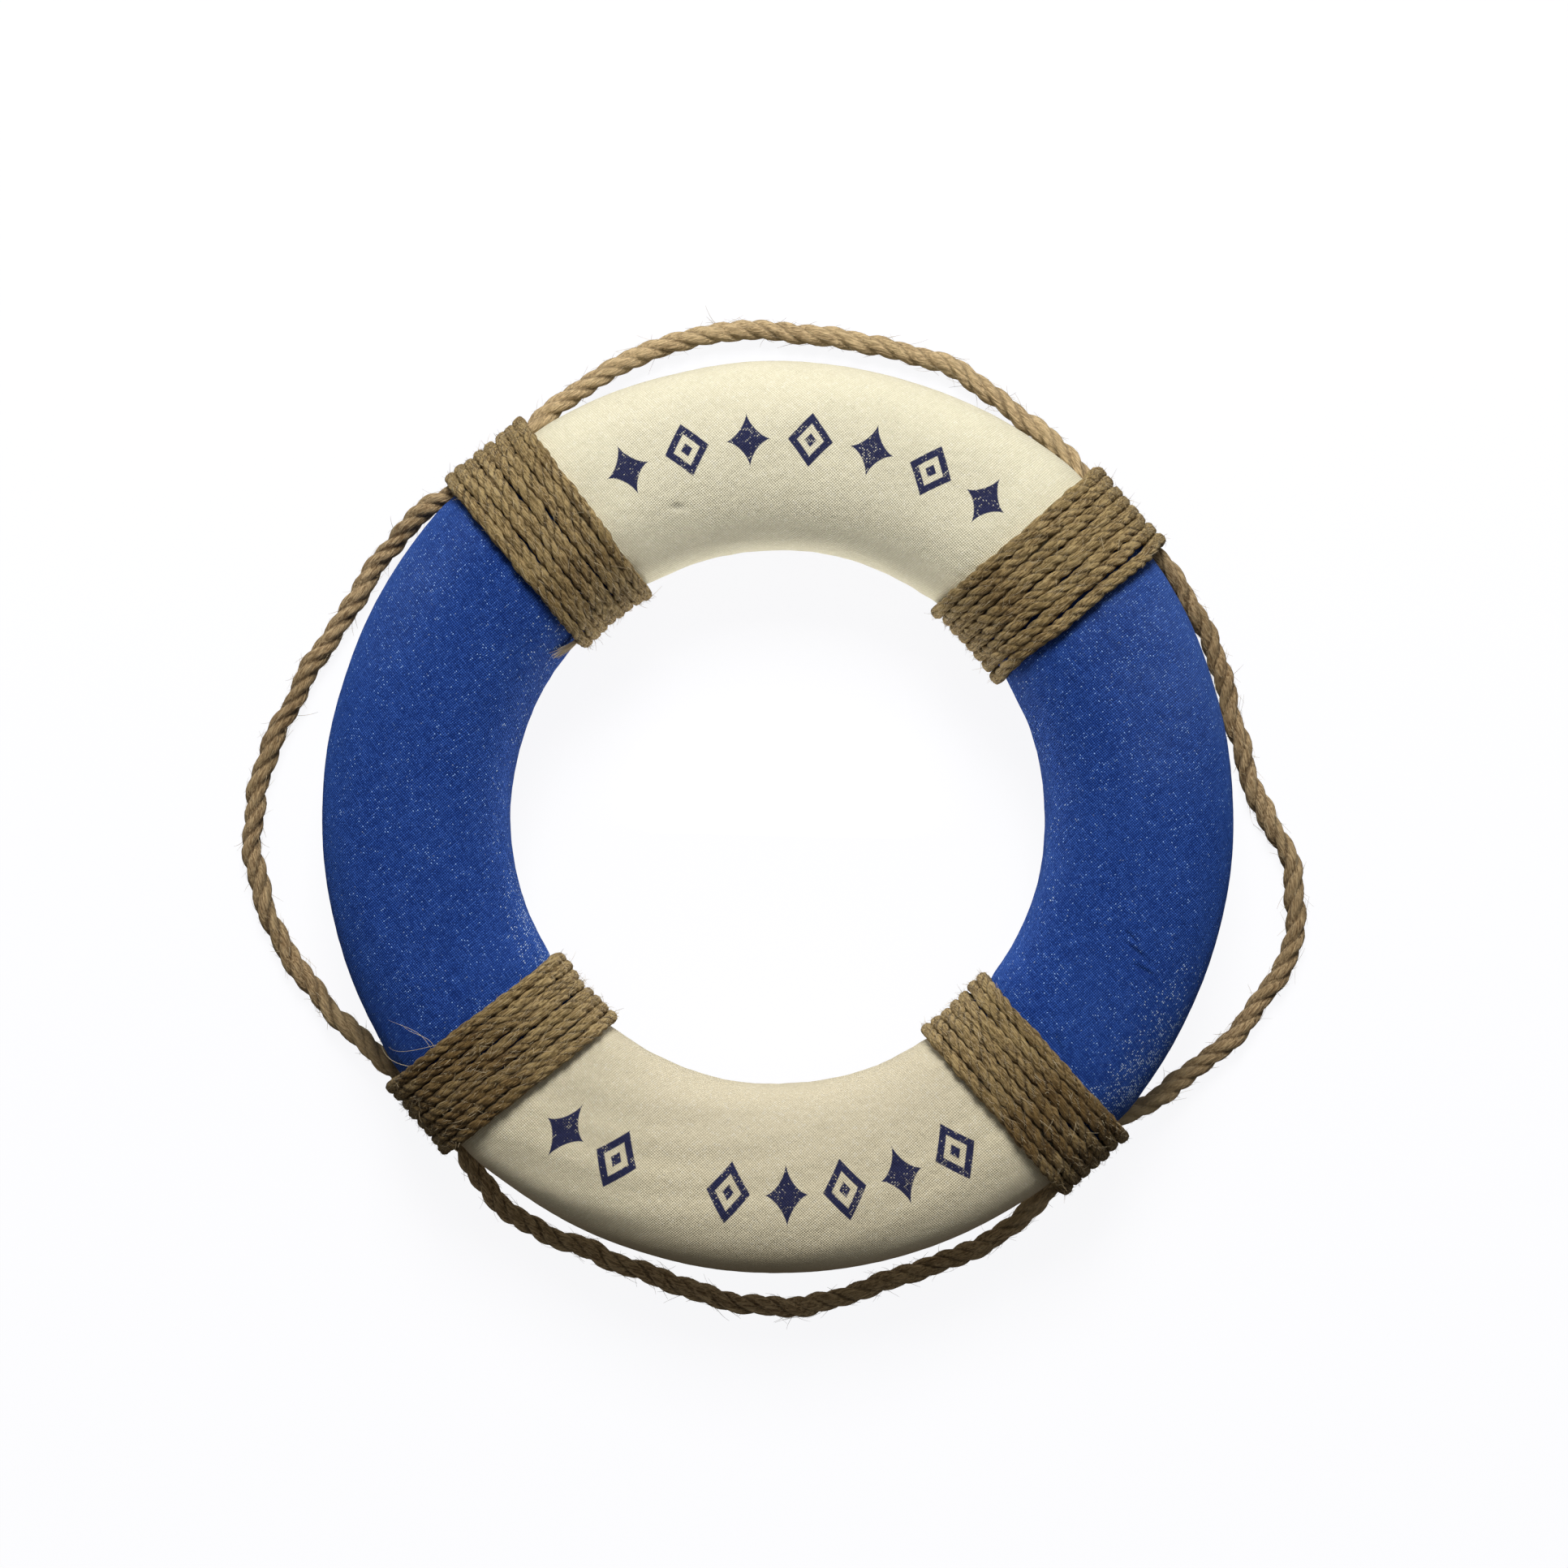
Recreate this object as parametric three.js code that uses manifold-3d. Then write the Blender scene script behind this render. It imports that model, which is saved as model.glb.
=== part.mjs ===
// Ring lifebuoy: a foam ring in four canvas panels (two cream, two blue), four jute
// lashings over the panel joints, and one grab line laid around the outside and held
// under each lashing, so that it makes four free bights.
//
// Frame: millimetres, +Z up. The ring lies flat. The origin is on the ring's axis, on
// the plane that the lashings rest on. +Y points to the middle of the upper cream panel.

import * as THREE from 'three';
import { mergeVertices } from 'three/addons/utils/BufferGeometryUtils.js';
import Module from 'manifold-3d';

// ---------------------------------------------------------------- driving dimensions
const RING_RADIUS = 139;        // ring axis to the middle of the oval section
const COVER_RADIUS = 36;        // half width of the section over the canvas, so the ring is 350 mm across
const FLATTEN = 9;              // how much less the section's half height is than its half width
const COVER_THICKNESS = 0.7;    // painted canvas
const GAP = 0.3;                // clearance between neighbouring solids
const FOAM_RADIUS = COVER_RADIUS - COVER_THICKNESS - GAP;
const LASHING_THICKNESS = 4.9;  // one layer of jute cord
const LASHING_RADIUS = COVER_RADIUS + GAP + LASHING_THICKNESS;
const ROPE_RADIUS = 3.8;        // grab line, 7.6 mm across
const SECTION_SIDES = 20;       // facets around the section, with flats top and bottom
const RING_STEPS = 72;          // facets around the ring
const ROPE_SIDES = 8;
const ROPE_STEPS = 80;
const PANEL_HALF_GAP = 0.15;    // degrees, half of the gap between two canvas panels
const SQUARENESS = 2.5;         // 2 is an ellipse; more gives flatter faces and rounder shoulders
const bulge = (a) => (Math.abs(Math.cos(a)) ** SQUARENESS + Math.abs(Math.sin(a)) ** SQUARENESS) ** (-1 / SQUARENESS);
const FLAT = Math.PI / 2 - Math.PI / SECTION_SIDES; // angle of the corner beside the top flat
const SECTION_HEIGHT = (LASHING_RADIUS - FLATTEN) * bulge(FLAT) * Math.sin(FLAT); // section centre above the base plane

// Lashings: angle around the ring, half width at the outside and at the hole.
const LASHINGS = [
  { name: 'lashing_top_right', angle: 45.8, outer: 19.8, inner: 19.0, colour: 0x8f7850 },
  { name: 'lashing_top_left', angle: 132.8, outer: 19.2, inner: 17.2, colour: 0x8f7850 },
  { name: 'lashing_bottom_left', angle: 224.4, outer: 18.0, inner: 17.2, colour: 0x8b744c },
  { name: 'lashing_bottom_right', angle: 316.8, outer: 16.9, inner: 16.4, colour: 0x8b744c },
];

// Canvas panels, from one lashing to the next.
const PANELS = [
  { name: 'canvas_cream_top', from: 45.8, to: 132.8, colour: 0xe1dabe },
  { name: 'canvas_blue_left', from: 132.8, to: 224.4, colour: 0x1e46a0 },
  { name: 'canvas_cream_bottom', from: 224.4, to: 316.8, colour: 0xd6cfb2 },
  { name: 'canvas_blue_right', from: 316.8, to: 405.8, colour: 0x1e46a0 },
];

// Grab line centre: angle (degrees), distance from the ring's axis, height above the
// base plane. It is pressed against the ring below its widest line under each lashing,
// drops to the base plane beyond it, and bulges outwards in the four free bights.
const ROPE_ROUTE = [
  [224.4, 176.3, 15.8], [228.0, 176.8, 15.7], [230.8, 178.4, 15.0], [233.6, 182.5, 12.9], [239.3, 187.3, 8.0], [245.0, 187.9, 4.9],
  [250.7, 186.3, 4.1], [256.4, 187.1, 4.1], [262.1, 189.0, 4.1], [267.8, 191.6, 4.1], [273.4, 193.6, 4.1], [279.1, 192.2, 4.1],
  [284.8, 189.1, 4.1], [290.5, 187.0, 4.1], [296.2, 187.2, 4.9], [301.9, 185.8, 8.0], [307.6, 181.8, 12.9], [310.4, 178.4, 15.0],
  [313.2, 176.8, 15.7], [316.8, 176.3, 15.8], [320.4, 176.8, 15.7], [323.2, 178.4, 15.0], [326.0, 183.0, 12.9], [331.4, 189.9, 8.2],
  [336.9, 197.1, 5.0], [342.3, 203.4, 4.1], [347.7, 207.6, 4.1], [353.2, 208.0, 4.1], [358.6, 202.7, 4.1], [364.0, 192.7, 4.1],
  [369.4, 185.5, 4.1], [374.9, 183.7, 4.1], [380.3, 183.4, 4.1], [385.7, 183.5, 5.0], [391.2, 182.1, 8.2], [396.6, 180.3, 12.9],
  [399.4, 178.4, 15.0], [402.2, 176.8, 15.7], [405.8, 176.3, 15.8], [409.4, 176.8, 15.7], [412.2, 178.4, 15.0], [415.0, 180.7, 12.9],
  [420.7, 182.7, 8.0], [426.4, 186.1, 4.9], [432.1, 189.3, 4.1], [437.9, 189.9, 4.1], [443.6, 189.3, 4.1], [449.3, 190.0, 4.1],
  [455.0, 191.3, 4.1], [460.7, 191.8, 4.1], [466.5, 191.2, 4.1], [472.2, 188.6, 4.9], [477.9, 185.4, 8.0], [483.6, 181.7, 12.9],
  [486.4, 178.4, 15.0], [489.2, 176.8, 15.7], [492.8, 176.3, 15.8], [496.4, 176.8, 15.7], [499.2, 178.4, 15.0], [502.0, 182.2, 12.9],
  [507.6, 185.4, 8.0], [513.3, 186.2, 4.9], [518.9, 187.9, 4.1], [524.5, 191.6, 4.1], [530.2, 196.3, 4.1], [535.8, 201.4, 4.1],
  [541.4, 205.5, 4.1], [547.0, 207.1, 4.1], [552.7, 205.9, 4.1], [558.3, 201.6, 4.1], [563.9, 196.0, 4.9], [569.6, 188.2, 8.0],
  [575.2, 182.0, 12.9], [578.0, 178.4, 15.0], [580.8, 176.8, 15.7], [584.2, 176.3, 15.8],
];
const ROPE_UNDER_LASHING = [176.3, 15.8]; // distance from the axis and height, under a lashing

// ---------------------------------------------------------------- helpers
const wasm = await Module();
wasm.setup();
const rad = (degrees) => (degrees * Math.PI) / 180;

// A closed geometry with merged vertices, faces pointing out, as a solid.
function solidOf(geometry) {
  const g = geometry.clone();
  g.deleteAttribute('normal');
  g.deleteAttribute('uv');
  const merged = mergeVertices(g, 1e-4);
  const p = merged.attributes.position;
  const source = merged.index.array;
  const tri = [];
  let volume = 0;
  for (let i = 0; i < source.length; i += 3) {
    const [a, b, c] = [source[i], source[i + 1], source[i + 2]];
    if (a === b || b === c || c === a) continue;
    tri.push(a, b, c);
    const va = new THREE.Vector3().fromBufferAttribute(p, a);
    const vb = new THREE.Vector3().fromBufferAttribute(p, b);
    const vc = new THREE.Vector3().fromBufferAttribute(p, c);
    volume += va.dot(vb.cross(vc));
  }
  if (volume < 0) {
    for (let i = 0; i < tri.length; i += 3) [tri[i + 1], tri[i + 2]] = [tri[i + 2], tri[i + 1]];
  }
  return new wasm.Manifold(new wasm.Mesh({
    numProp: 3,
    vertProperties: new Float32Array(p.array),
    triVerts: new Uint32Array(tri),
  }));
}

function meshOf(name, solid, material) {
  const m = solid.getMesh();
  const g = new THREE.BufferGeometry();
  const n = m.vertProperties.length / m.numProp;
  const position = new Float32Array(n * 3);
  for (let i = 0; i < n; i++) {
    for (let k = 0; k < 3; k++) position[3 * i + k] = m.vertProperties[i * m.numProp + k];
  }
  g.setAttribute('position', new THREE.BufferAttribute(position, 3));
  g.setIndex(new THREE.BufferAttribute(new Uint32Array(m.triVerts), 1));
  g.computeVertexNormals();
  const mesh = new THREE.Mesh(g, material);
  mesh.name = name;
  return mesh;
}

// Oval section polygon of half width r, with vertices half a step away from the
// horizontal, so that it has a flat at the top and at the bottom. Points are (distance from the ring's axis, height).
function sectionPolygon(r) {
  const points = [];
  for (let i = 0; i < SECTION_SIDES; i++) {
    const a = ((i + 0.5) / SECTION_SIDES) * 2 * Math.PI;
    points.push([RING_RADIUS + r * bulge(a) * Math.cos(a), SECTION_HEIGHT + (r - FLATTEN) * bulge(a) * Math.sin(a)]);
  }
  return points;
}

// Convex outline around a set of points, anticlockwise.
function outlineOf(points) {
  const p = [...points].sort((a, b) => a[0] - b[0] || a[1] - b[1]);
  const turn = (o, a, b) => (a[0] - o[0]) * (b[1] - o[1]) - (a[1] - o[1]) * (b[0] - o[0]);
  const half = (list) => {
    const h = [];
    for (const q of list) {
      while (h.length > 1 && turn(h[h.length - 2], h[h.length - 1], q) <= 1e-9) h.pop();
      h.push(q);
    }
    h.pop();
    return h;
  };
  return [...half(p), ...half(p.reverse())];
}

// Ring swept from a closed section.
function ringOf(outline) {
  const profile = outline.map(([x, y]) => new THREE.Vector2(x, y));
  profile.push(profile[0].clone());
  const g = new THREE.LatheGeometry(profile, RING_STEPS);
  g.rotateX(Math.PI / 2);
  return solidOf(g);
}

// Upright prism over a polygon in the XY plane, taller than the ring.
function prismOf(corners) {
  const shape = new THREE.Shape(corners.map(([x, y]) => new THREE.Vector2(x, y)));
  const g = new THREE.ExtrudeGeometry(shape, { depth: 120, bevelEnabled: false, steps: 1 });
  g.translate(0, 0, -20);
  return solidOf(g);
}

function polar(angle, r) {
  return [r * Math.cos(rad(angle)), r * Math.sin(rad(angle))];
}

// Tube along the grab line.
const route = new THREE.CatmullRomCurve3(
  ROPE_ROUTE.map(([a, r, z]) => new THREE.Vector3(...polar(a, r), z)), false, 'centripetal');
function ropeOf(r) {
  const shape = new THREE.Shape();
  for (let i = 0; i < ROPE_SIDES; i++) {
    const a = ((i + 0.5) / ROPE_SIDES) * 2 * Math.PI;
    if (i === 0) shape.moveTo(r * Math.cos(a), r * Math.sin(a));
    else shape.lineTo(r * Math.cos(a), r * Math.sin(a));
  }
  shape.closePath();
  return solidOf(new THREE.ExtrudeGeometry(shape, { steps: ROPE_STEPS, extrudePath: route, bevelEnabled: false }));
}

// ---------------------------------------------------------------- materials
const foam = new THREE.MeshStandardMaterial({ color: 0xf2f2ee, roughness: 0.9, metalness: 0 });
const rope = new THREE.MeshStandardMaterial({ color: 0x967d55, roughness: 0.95, metalness: 0 });
const cloth = (colour) => new THREE.MeshStandardMaterial({ color: colour, roughness: 0.85, metalness: 0 });

// ---------------------------------------------------------------- assembly
const lifebuoy = new THREE.Group();

// foam ring that floats the buoy and holds its shape
lifebuoy.add(meshOf('foam_core', ringOf(sectionPolygon(FOAM_RADIUS)), foam));

// canvas panels: a sleeve around the foam, cut into four arcs
const sleeve = ringOf(sectionPolygon(COVER_RADIUS)).subtract(ringOf(sectionPolygon(COVER_RADIUS - COVER_THICKNESS)));
for (const panel of PANELS) {
  const a = panel.from + PANEL_HALF_GAP;
  const b = panel.to - PANEL_HALF_GAP;
  const corners = [[0, 0]];
  for (let i = 0; i <= 4; i++) corners.push(polar(a + ((b - a) * i) / 4, 260));
  lifebuoy.add(meshOf(panel.name, sleeve.intersect(prismOf(corners)), cloth(panel.colour)));
}

// lashings: a band of cord turns around the section and over the grab line, with
// parallel sides, and a channel for the grab line
const ropePad = [];
for (let i = 0; i < 12; i++) {
  const a = (i / 12) * 2 * Math.PI;
  const r = ROPE_RADIUS + GAP + LASHING_THICKNESS;
  ropePad.push([ROPE_UNDER_LASHING[0] + r * Math.cos(a), ROPE_UNDER_LASHING[1] + r * Math.sin(a)]);
}
const wound = ringOf(outlineOf([...sectionPolygon(LASHING_RADIUS), ...ropePad]))
  .subtract(ringOf(sectionPolygon(COVER_RADIUS + GAP)))
  .subtract(ropeOf(ROPE_RADIUS + GAP + 0.05));
for (const lashing of LASHINGS) {
  const d = new THREE.Vector2(...polar(lashing.angle, 1));
  const t = new THREE.Vector2(-d.y, d.x);
  const near = RING_RADIUS - LASHING_RADIUS;
  const far = RING_RADIUS + LASHING_RADIUS;
  const widthAt = (r) => lashing.inner + ((lashing.outer - lashing.inner) * (r - near)) / (far - near);
  const corner = (r, side) => [d.x * r + t.x * side * widthAt(r), d.y * r + t.y * side * widthAt(r)];
  const band = prismOf([corner(60, -1), corner(240, -1), corner(240, 1), corner(60, 1)]);
  lifebuoy.add(meshOf(lashing.name, wound.intersect(band), cloth(lashing.colour)));
}

// grab line, one length of rope whose two ends meet under the lower left lashing
lifebuoy.add(meshOf('grab_line', ropeOf(ROPE_RADIUS), rope));

export default lifebuoy;
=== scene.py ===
import math

import bpy
import numpy as np
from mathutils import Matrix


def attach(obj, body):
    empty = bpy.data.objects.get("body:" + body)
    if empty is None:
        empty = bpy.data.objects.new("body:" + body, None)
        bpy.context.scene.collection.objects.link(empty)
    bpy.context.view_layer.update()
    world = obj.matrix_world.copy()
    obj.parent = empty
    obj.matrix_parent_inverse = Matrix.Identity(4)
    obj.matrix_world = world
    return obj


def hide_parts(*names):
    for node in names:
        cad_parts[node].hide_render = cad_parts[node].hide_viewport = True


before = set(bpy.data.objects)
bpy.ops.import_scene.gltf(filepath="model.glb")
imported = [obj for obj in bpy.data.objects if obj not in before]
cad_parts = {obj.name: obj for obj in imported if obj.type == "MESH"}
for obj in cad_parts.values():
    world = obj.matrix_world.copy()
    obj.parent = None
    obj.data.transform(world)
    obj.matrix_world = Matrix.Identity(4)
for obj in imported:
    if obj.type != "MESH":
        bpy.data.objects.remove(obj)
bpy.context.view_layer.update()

# ---------------------------------------------------------------- dimensions, in millimetres as in the CAD
RING_RADIUS = 139.0
COVER_RADIUS = 36.0
FLATTEN = 9.0  # the section's half height is this much less than its half width
SQUARENESS = 2.5  # 2 is an ellipse


def bulge(a):
    """How far the section stands out from an ellipse at that angle, as a factor."""
    return (np.abs(np.cos(a)) ** SQUARENESS + np.abs(np.sin(a)) ** SQUARENESS) ** (-1 / SQUARENESS)


SECTION_HEIGHT = float((41.2 - FLATTEN) * bulge(math.radians(81.0)) * math.sin(math.radians(81.0)))
FOAM_RADIUS = 34.8
CORD_RADIUS = 2.35
CORD_FULL = 2.48  # over the crowns of the strands, so that neighbouring turns press together
CORD_CENTRE = 38.35
ROPE_RADIUS = 3.8
ROPE_FULL = 4.0
THREAD_PITCH = 0.78
MM = 0.001

# ---------------------------------------------------------------- camera
scene = bpy.context.scene
camera_data = bpy.data.cameras.new("camera")
camera_data.sensor_fit = "HORIZONTAL"
camera_data.sensor_width = 36.0
camera_data.lens = 71.55
camera_data.clip_start = 0.05
camera_data.clip_end = 60.0
camera = bpy.data.objects.new("camera", camera_data)
scene.collection.objects.link(camera)
camera.location = (0.00144, 0.01293, SECTION_HEIGHT * MM + 1.2)
camera.rotation_euler = (0.0, 0.0, math.radians(4.0))
scene.camera = camera
scene.view_settings.view_transform = "Standard"
scene.view_settings.look = "None"
scene.view_settings.exposure = 0.0
scene.view_settings.gamma = 1.0


# ---------------------------------------------------------------- mesh helpers
def make_piece(name, verts, quads, tris=None, vectors=None, floats=None):
    """A mesh object from arrays: verts in mm, quads and tris as index arrays, point attributes by name."""
    mesh = bpy.data.meshes.new(name)
    quads = np.asarray(quads, dtype=np.int32).reshape(-1, 4)
    tris = np.zeros((0, 3), np.int32) if tris is None else np.asarray(tris, dtype=np.int32).reshape(-1, 3)
    mesh.vertices.add(len(verts))
    mesh.vertices.foreach_set("co", (np.asarray(verts) * MM).astype(np.float32).ravel())
    loops = np.concatenate([quads.ravel(), tris.ravel()]).astype(np.int32)
    mesh.loops.add(len(loops))
    mesh.loops.foreach_set("vertex_index", loops)
    starts = np.concatenate([np.arange(len(quads)) * 4, len(quads) * 4 + np.arange(len(tris)) * 3]).astype(np.int32)
    mesh.polygons.add(len(starts))
    mesh.polygons.foreach_set("loop_start", starts)
    mesh.polygons.foreach_set("use_smooth", np.ones(len(starts), dtype=bool))
    mesh.update(calc_edges=True)
    for key, value in (vectors or {}).items():
        attribute = mesh.attributes.new(key, "FLOAT_VECTOR", "POINT")
        attribute.data.foreach_set("vector", np.asarray(value, dtype=np.float32).ravel())
    for key, value in (floats or {}).items():
        attribute = mesh.attributes.new(key, "FLOAT", "POINT")
        attribute.data.foreach_set("value", np.asarray(value, dtype=np.float32).ravel())
    obj = bpy.data.objects.new(name, mesh)
    scene.collection.objects.link(obj)
    return obj


def grid_quads(rows, cols, wrap_cols=False, offset=0, flip=False):
    i = np.arange(rows - 1)[:, None]
    j = np.arange(cols if wrap_cols else cols - 1)[None, :]
    j1 = (j + 1) % cols
    q = np.stack([i * cols + j, i * cols + j1, (i + 1) * cols + j1, (i + 1) * cols + j], axis=-1).reshape(-1, 4) + offset
    return q[:, ::-1] if flip else q


def normalise(v):
    return v / np.maximum(np.linalg.norm(v, axis=-1, keepdims=True), 1e-12)


def transport_frames(points, first):
    """Tangent, normal and binormal along a line, carried without twist, with normal x binormal = tangent."""
    tangent = normalise(np.gradient(points, axis=0))
    normal = np.empty_like(points)
    n = first - tangent[0] * np.dot(first, tangent[0])
    normal[0] = n / np.linalg.norm(n)
    for i in range(1, len(points)):
        v1 = points[i] - points[i - 1]
        c1 = v1 @ v1
        nl = normal[i - 1] - v1 * (2.0 / c1 * (v1 @ normal[i - 1]))
        tl = tangent[i - 1] - v1 * (2.0 / c1 * (v1 @ tangent[i - 1]))
        v2 = tangent[i] - tl
        c2 = v2 @ v2
        normal[i] = nl - v2 * (2.0 / c2 * (v2 @ nl)) if c2 > 1e-14 else nl
    normal = normalise(normal - tangent * np.sum(normal * tangent, axis=1, keepdims=True))
    return tangent, normal, np.cross(tangent, normal)


def resample(points, count):
    length = np.concatenate([[0.0], np.cumsum(np.linalg.norm(np.diff(points, axis=0), axis=1))])
    s = np.linspace(0.0, length[-1], count)
    return np.stack([np.interp(s, length, points[:, k]) for k in range(3)], axis=1), s


def wave(s, wavelength, seed, parts=5):
    """Smooth noise of about unit height along s."""
    r = np.random.default_rng(seed)
    out = np.zeros_like(np.asarray(s, dtype=float))
    for _ in range(parts):
        w = wavelength * r.uniform(0.6, 1.9)
        out = out + np.sin(2 * np.pi * np.asarray(s) / w + r.uniform(0, 2 * np.pi)) * r.uniform(0.5, 1.0)
    return out / math.sqrt(parts * 0.3)


def smooth(x, a, b):
    x = np.clip((np.asarray(x, dtype=float) - a) / (b - a), 0.0, 1.0)
    return x * x * (3 - 2 * x)


def twisted_line(points, s, first, columns, radius, pitch, yarns, seed, yarn_depth, wobble=0.05, apart=1.58):
    """A three-strand right-laid cord along points: the outline of three strands turned with the lay, each with its yarns turned the other way.
    Returns the rings of points, the reach from the centreline, the fibre coordinates and how deep each point lies in a groove."""
    tangent, normal, binormal = transport_frames(points, first)
    k = radius / 3.88
    phi = np.linspace(0, 2 * np.pi, columns, endpoint=False)[None, :]
    tau = 2 * np.pi * s / pitch + 0.22 * wave(s, pitch * 3.4, seed)
    best = np.full((len(s), columns), -1.0)
    lobe = np.zeros((len(s), columns))
    for strand in range(3):
        a = apart * k * (1 + wobble * wave(s, pitch * 1.3, seed + 10 + strand))[:, None]
        b = (3.88 - apart) * k * (1 + wobble * 0.8 * wave(s, pitch * 0.9, seed + 20 + strand))[:, None]
        alpha = phi - tau[:, None] - strand * 2 * np.pi / 3
        reach = a * np.cos(alpha) + np.sqrt(np.maximum(b * b - (a * np.sin(alpha)) ** 2, 0.05))
        beta = np.arctan2(reach * np.sin(alpha), reach * np.cos(alpha) - a)
        psi = -0.92 * (2 * np.pi / pitch) * (3.88 / 2.30) * s + 0.55 * wave(s, pitch * 1.1, seed + 30 + strand) + strand * 1.7
        turn = beta - psi[:, None]
        yarn = np.abs(np.cos(yarns * turn / 2 + 0.35 * np.sin(turn + strand))) ** 0.7 - 0.6
        yarn = yarn + 0.30 * np.sin((2 * yarns + 3) * turn + 2.0 * wave(s, pitch * 0.35, seed + 40 + strand)[:, None])
        take = reach > best
        best = np.where(take, reach, best)
        lobe = np.where(take, yarn, lobe)
    low, high = (apart / 2 + math.sqrt((3.88 - apart) ** 2 - 0.75 * apart ** 2)) * k, 3.88 * k
    cavity = np.clip((best - low) / (high - low), 0, 1)
    reach = best + yarn_depth * lobe * (0.35 + 0.65 * cavity)
    ring = points[:, None, :] + reach[..., None] * (np.cos(phi)[..., None] * normal[:, None, :] + np.sin(phi)[..., None] * binormal[:, None, :])
    fibre = np.stack([reach * np.cos(phi), reach * np.sin(phi), np.broadcast_to(s[:, None], reach.shape)], axis=-1)
    shade = np.clip(cavity * 0.75 + 0.25 * np.clip(lobe + 0.6, 0, 1), 0, 1)
    return ring, reach, fibre, shade, (tangent, normal, binormal)


def tube_arrays(ring, points):
    rows, cols = ring.shape[:2]
    verts = np.concatenate([ring.reshape(-1, 3), points[:1], points[-1:]])
    quads = grid_quads(rows, cols, wrap_cols=True)
    j = np.arange(cols)
    j1 = (j + 1) % cols
    base = rows * cols
    last = (rows - 1) * cols
    tris = np.concatenate([
        np.stack([np.full(cols, base), j1, j], axis=1),
        np.stack([np.full(cols, base + 1), last + j, last + j1], axis=1),
    ])
    return verts, quads, tris


def with_ends(values, fill):
    flat = values.reshape(-1, values.shape[-1]) if values.ndim == 3 else values.reshape(-1)
    ends = np.array([fill, fill], dtype=float).reshape((2,) + flat.shape[1:]) if flat.ndim == 2 else np.array([fill, fill], dtype=float)
    return np.concatenate([flat, ends])


# ---------------------------------------------------------------- grab line: route as in the CAD, angle in degrees, radius and height in mm
ROPE_ROUTE = [
    [224.4, 176.3, 15.8], [228.0, 176.8, 15.7], [230.8, 178.4, 15.0], [233.6, 182.5, 12.9], [239.3, 187.3, 8.0], [245.0, 187.9, 4.9],
    [250.7, 186.3, 4.1], [256.4, 187.1, 4.1], [262.1, 189.0, 4.1], [267.8, 191.6, 4.1], [273.4, 193.6, 4.1], [279.1, 192.2, 4.1],
    [284.8, 189.1, 4.1], [290.5, 187.0, 4.1], [296.2, 187.2, 4.9], [301.9, 185.8, 8.0], [307.6, 181.8, 12.9], [310.4, 178.4, 15.0],
    [313.2, 176.8, 15.7], [316.8, 176.3, 15.8], [320.4, 176.8, 15.7], [323.2, 178.4, 15.0], [326.0, 183.0, 12.9], [331.4, 189.9, 8.2],
    [336.9, 197.1, 5.0], [342.3, 203.4, 4.1], [347.7, 207.6, 4.1], [353.2, 208.0, 4.1], [358.6, 202.7, 4.1], [364.0, 192.7, 4.1],
    [369.4, 185.5, 4.1], [374.9, 183.7, 4.1], [380.3, 183.4, 4.1], [385.7, 183.5, 5.0], [391.2, 182.1, 8.2], [396.6, 180.3, 12.9],
    [399.4, 178.4, 15.0], [402.2, 176.8, 15.7], [405.8, 176.3, 15.8], [409.4, 176.8, 15.7], [412.2, 178.4, 15.0], [415.0, 180.7, 12.9],
    [420.7, 182.7, 8.0], [426.4, 186.1, 4.9], [432.1, 189.3, 4.1], [437.9, 189.9, 4.1], [443.6, 189.3, 4.1], [449.3, 190.0, 4.1],
    [455.0, 191.3, 4.1], [460.7, 191.8, 4.1], [466.5, 191.2, 4.1], [472.2, 188.6, 4.9], [477.9, 185.4, 8.0], [483.6, 181.7, 12.9],
    [486.4, 178.4, 15.0], [489.2, 176.8, 15.7], [492.8, 176.3, 15.8], [496.4, 176.8, 15.7], [499.2, 178.4, 15.0], [502.0, 182.2, 12.9],
    [507.6, 185.4, 8.0], [513.3, 186.2, 4.9], [518.9, 187.9, 4.1], [524.5, 191.6, 4.1], [530.2, 196.3, 4.1], [535.8, 201.4, 4.1],
    [541.4, 205.5, 4.1], [547.0, 207.1, 4.1], [552.7, 205.9, 4.1], [558.3, 201.6, 4.1], [563.9, 196.0, 4.9], [569.6, 188.2, 8.0],
    [575.2, 182.0, 12.9], [578.0, 178.4, 15.0], [580.8, 176.8, 15.7], [584.2, 176.3, 15.8],
]


def catmull_rom(points, per_segment):
    """Centripetal Catmull-Rom curve through points, open."""
    p = np.asarray(points, dtype=float)
    p = np.concatenate([[2 * p[0] - p[1]], p, [2 * p[-1] - p[-2]]])
    d = np.sqrt(np.linalg.norm(np.diff(p, axis=0), axis=1))
    out = []
    w = np.linspace(0, 1, per_segment, endpoint=False)[:, None]
    for i in range(1, len(p) - 2):
        dt0, dt1, dt2 = d[i - 1], d[i], d[i + 1]
        t1 = ((p[i] - p[i - 1]) / dt0 - (p[i + 1] - p[i - 1]) / (dt0 + dt1) + (p[i + 1] - p[i]) / dt1) * dt1
        t2 = ((p[i + 1] - p[i]) / dt1 - (p[i + 2] - p[i]) / (dt1 + dt2) + (p[i + 2] - p[i + 1]) / dt2) * dt1
        out.append(p[i] + t1 * w + (-3 * p[i] + 3 * p[i + 1] - 2 * t1 - t2) * w ** 2 + (2 * p[i] - 2 * p[i + 1] + t1 + t2) * w ** 3)
    return np.concatenate(out + [p[-2][None]])


route = np.array([[r * math.cos(math.radians(a)), r * math.sin(math.radians(a)), z] for a, r, z in ROPE_ROUTE])
rope_line, rope_s = resample(catmull_rom(route, 40), 1480)
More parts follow.
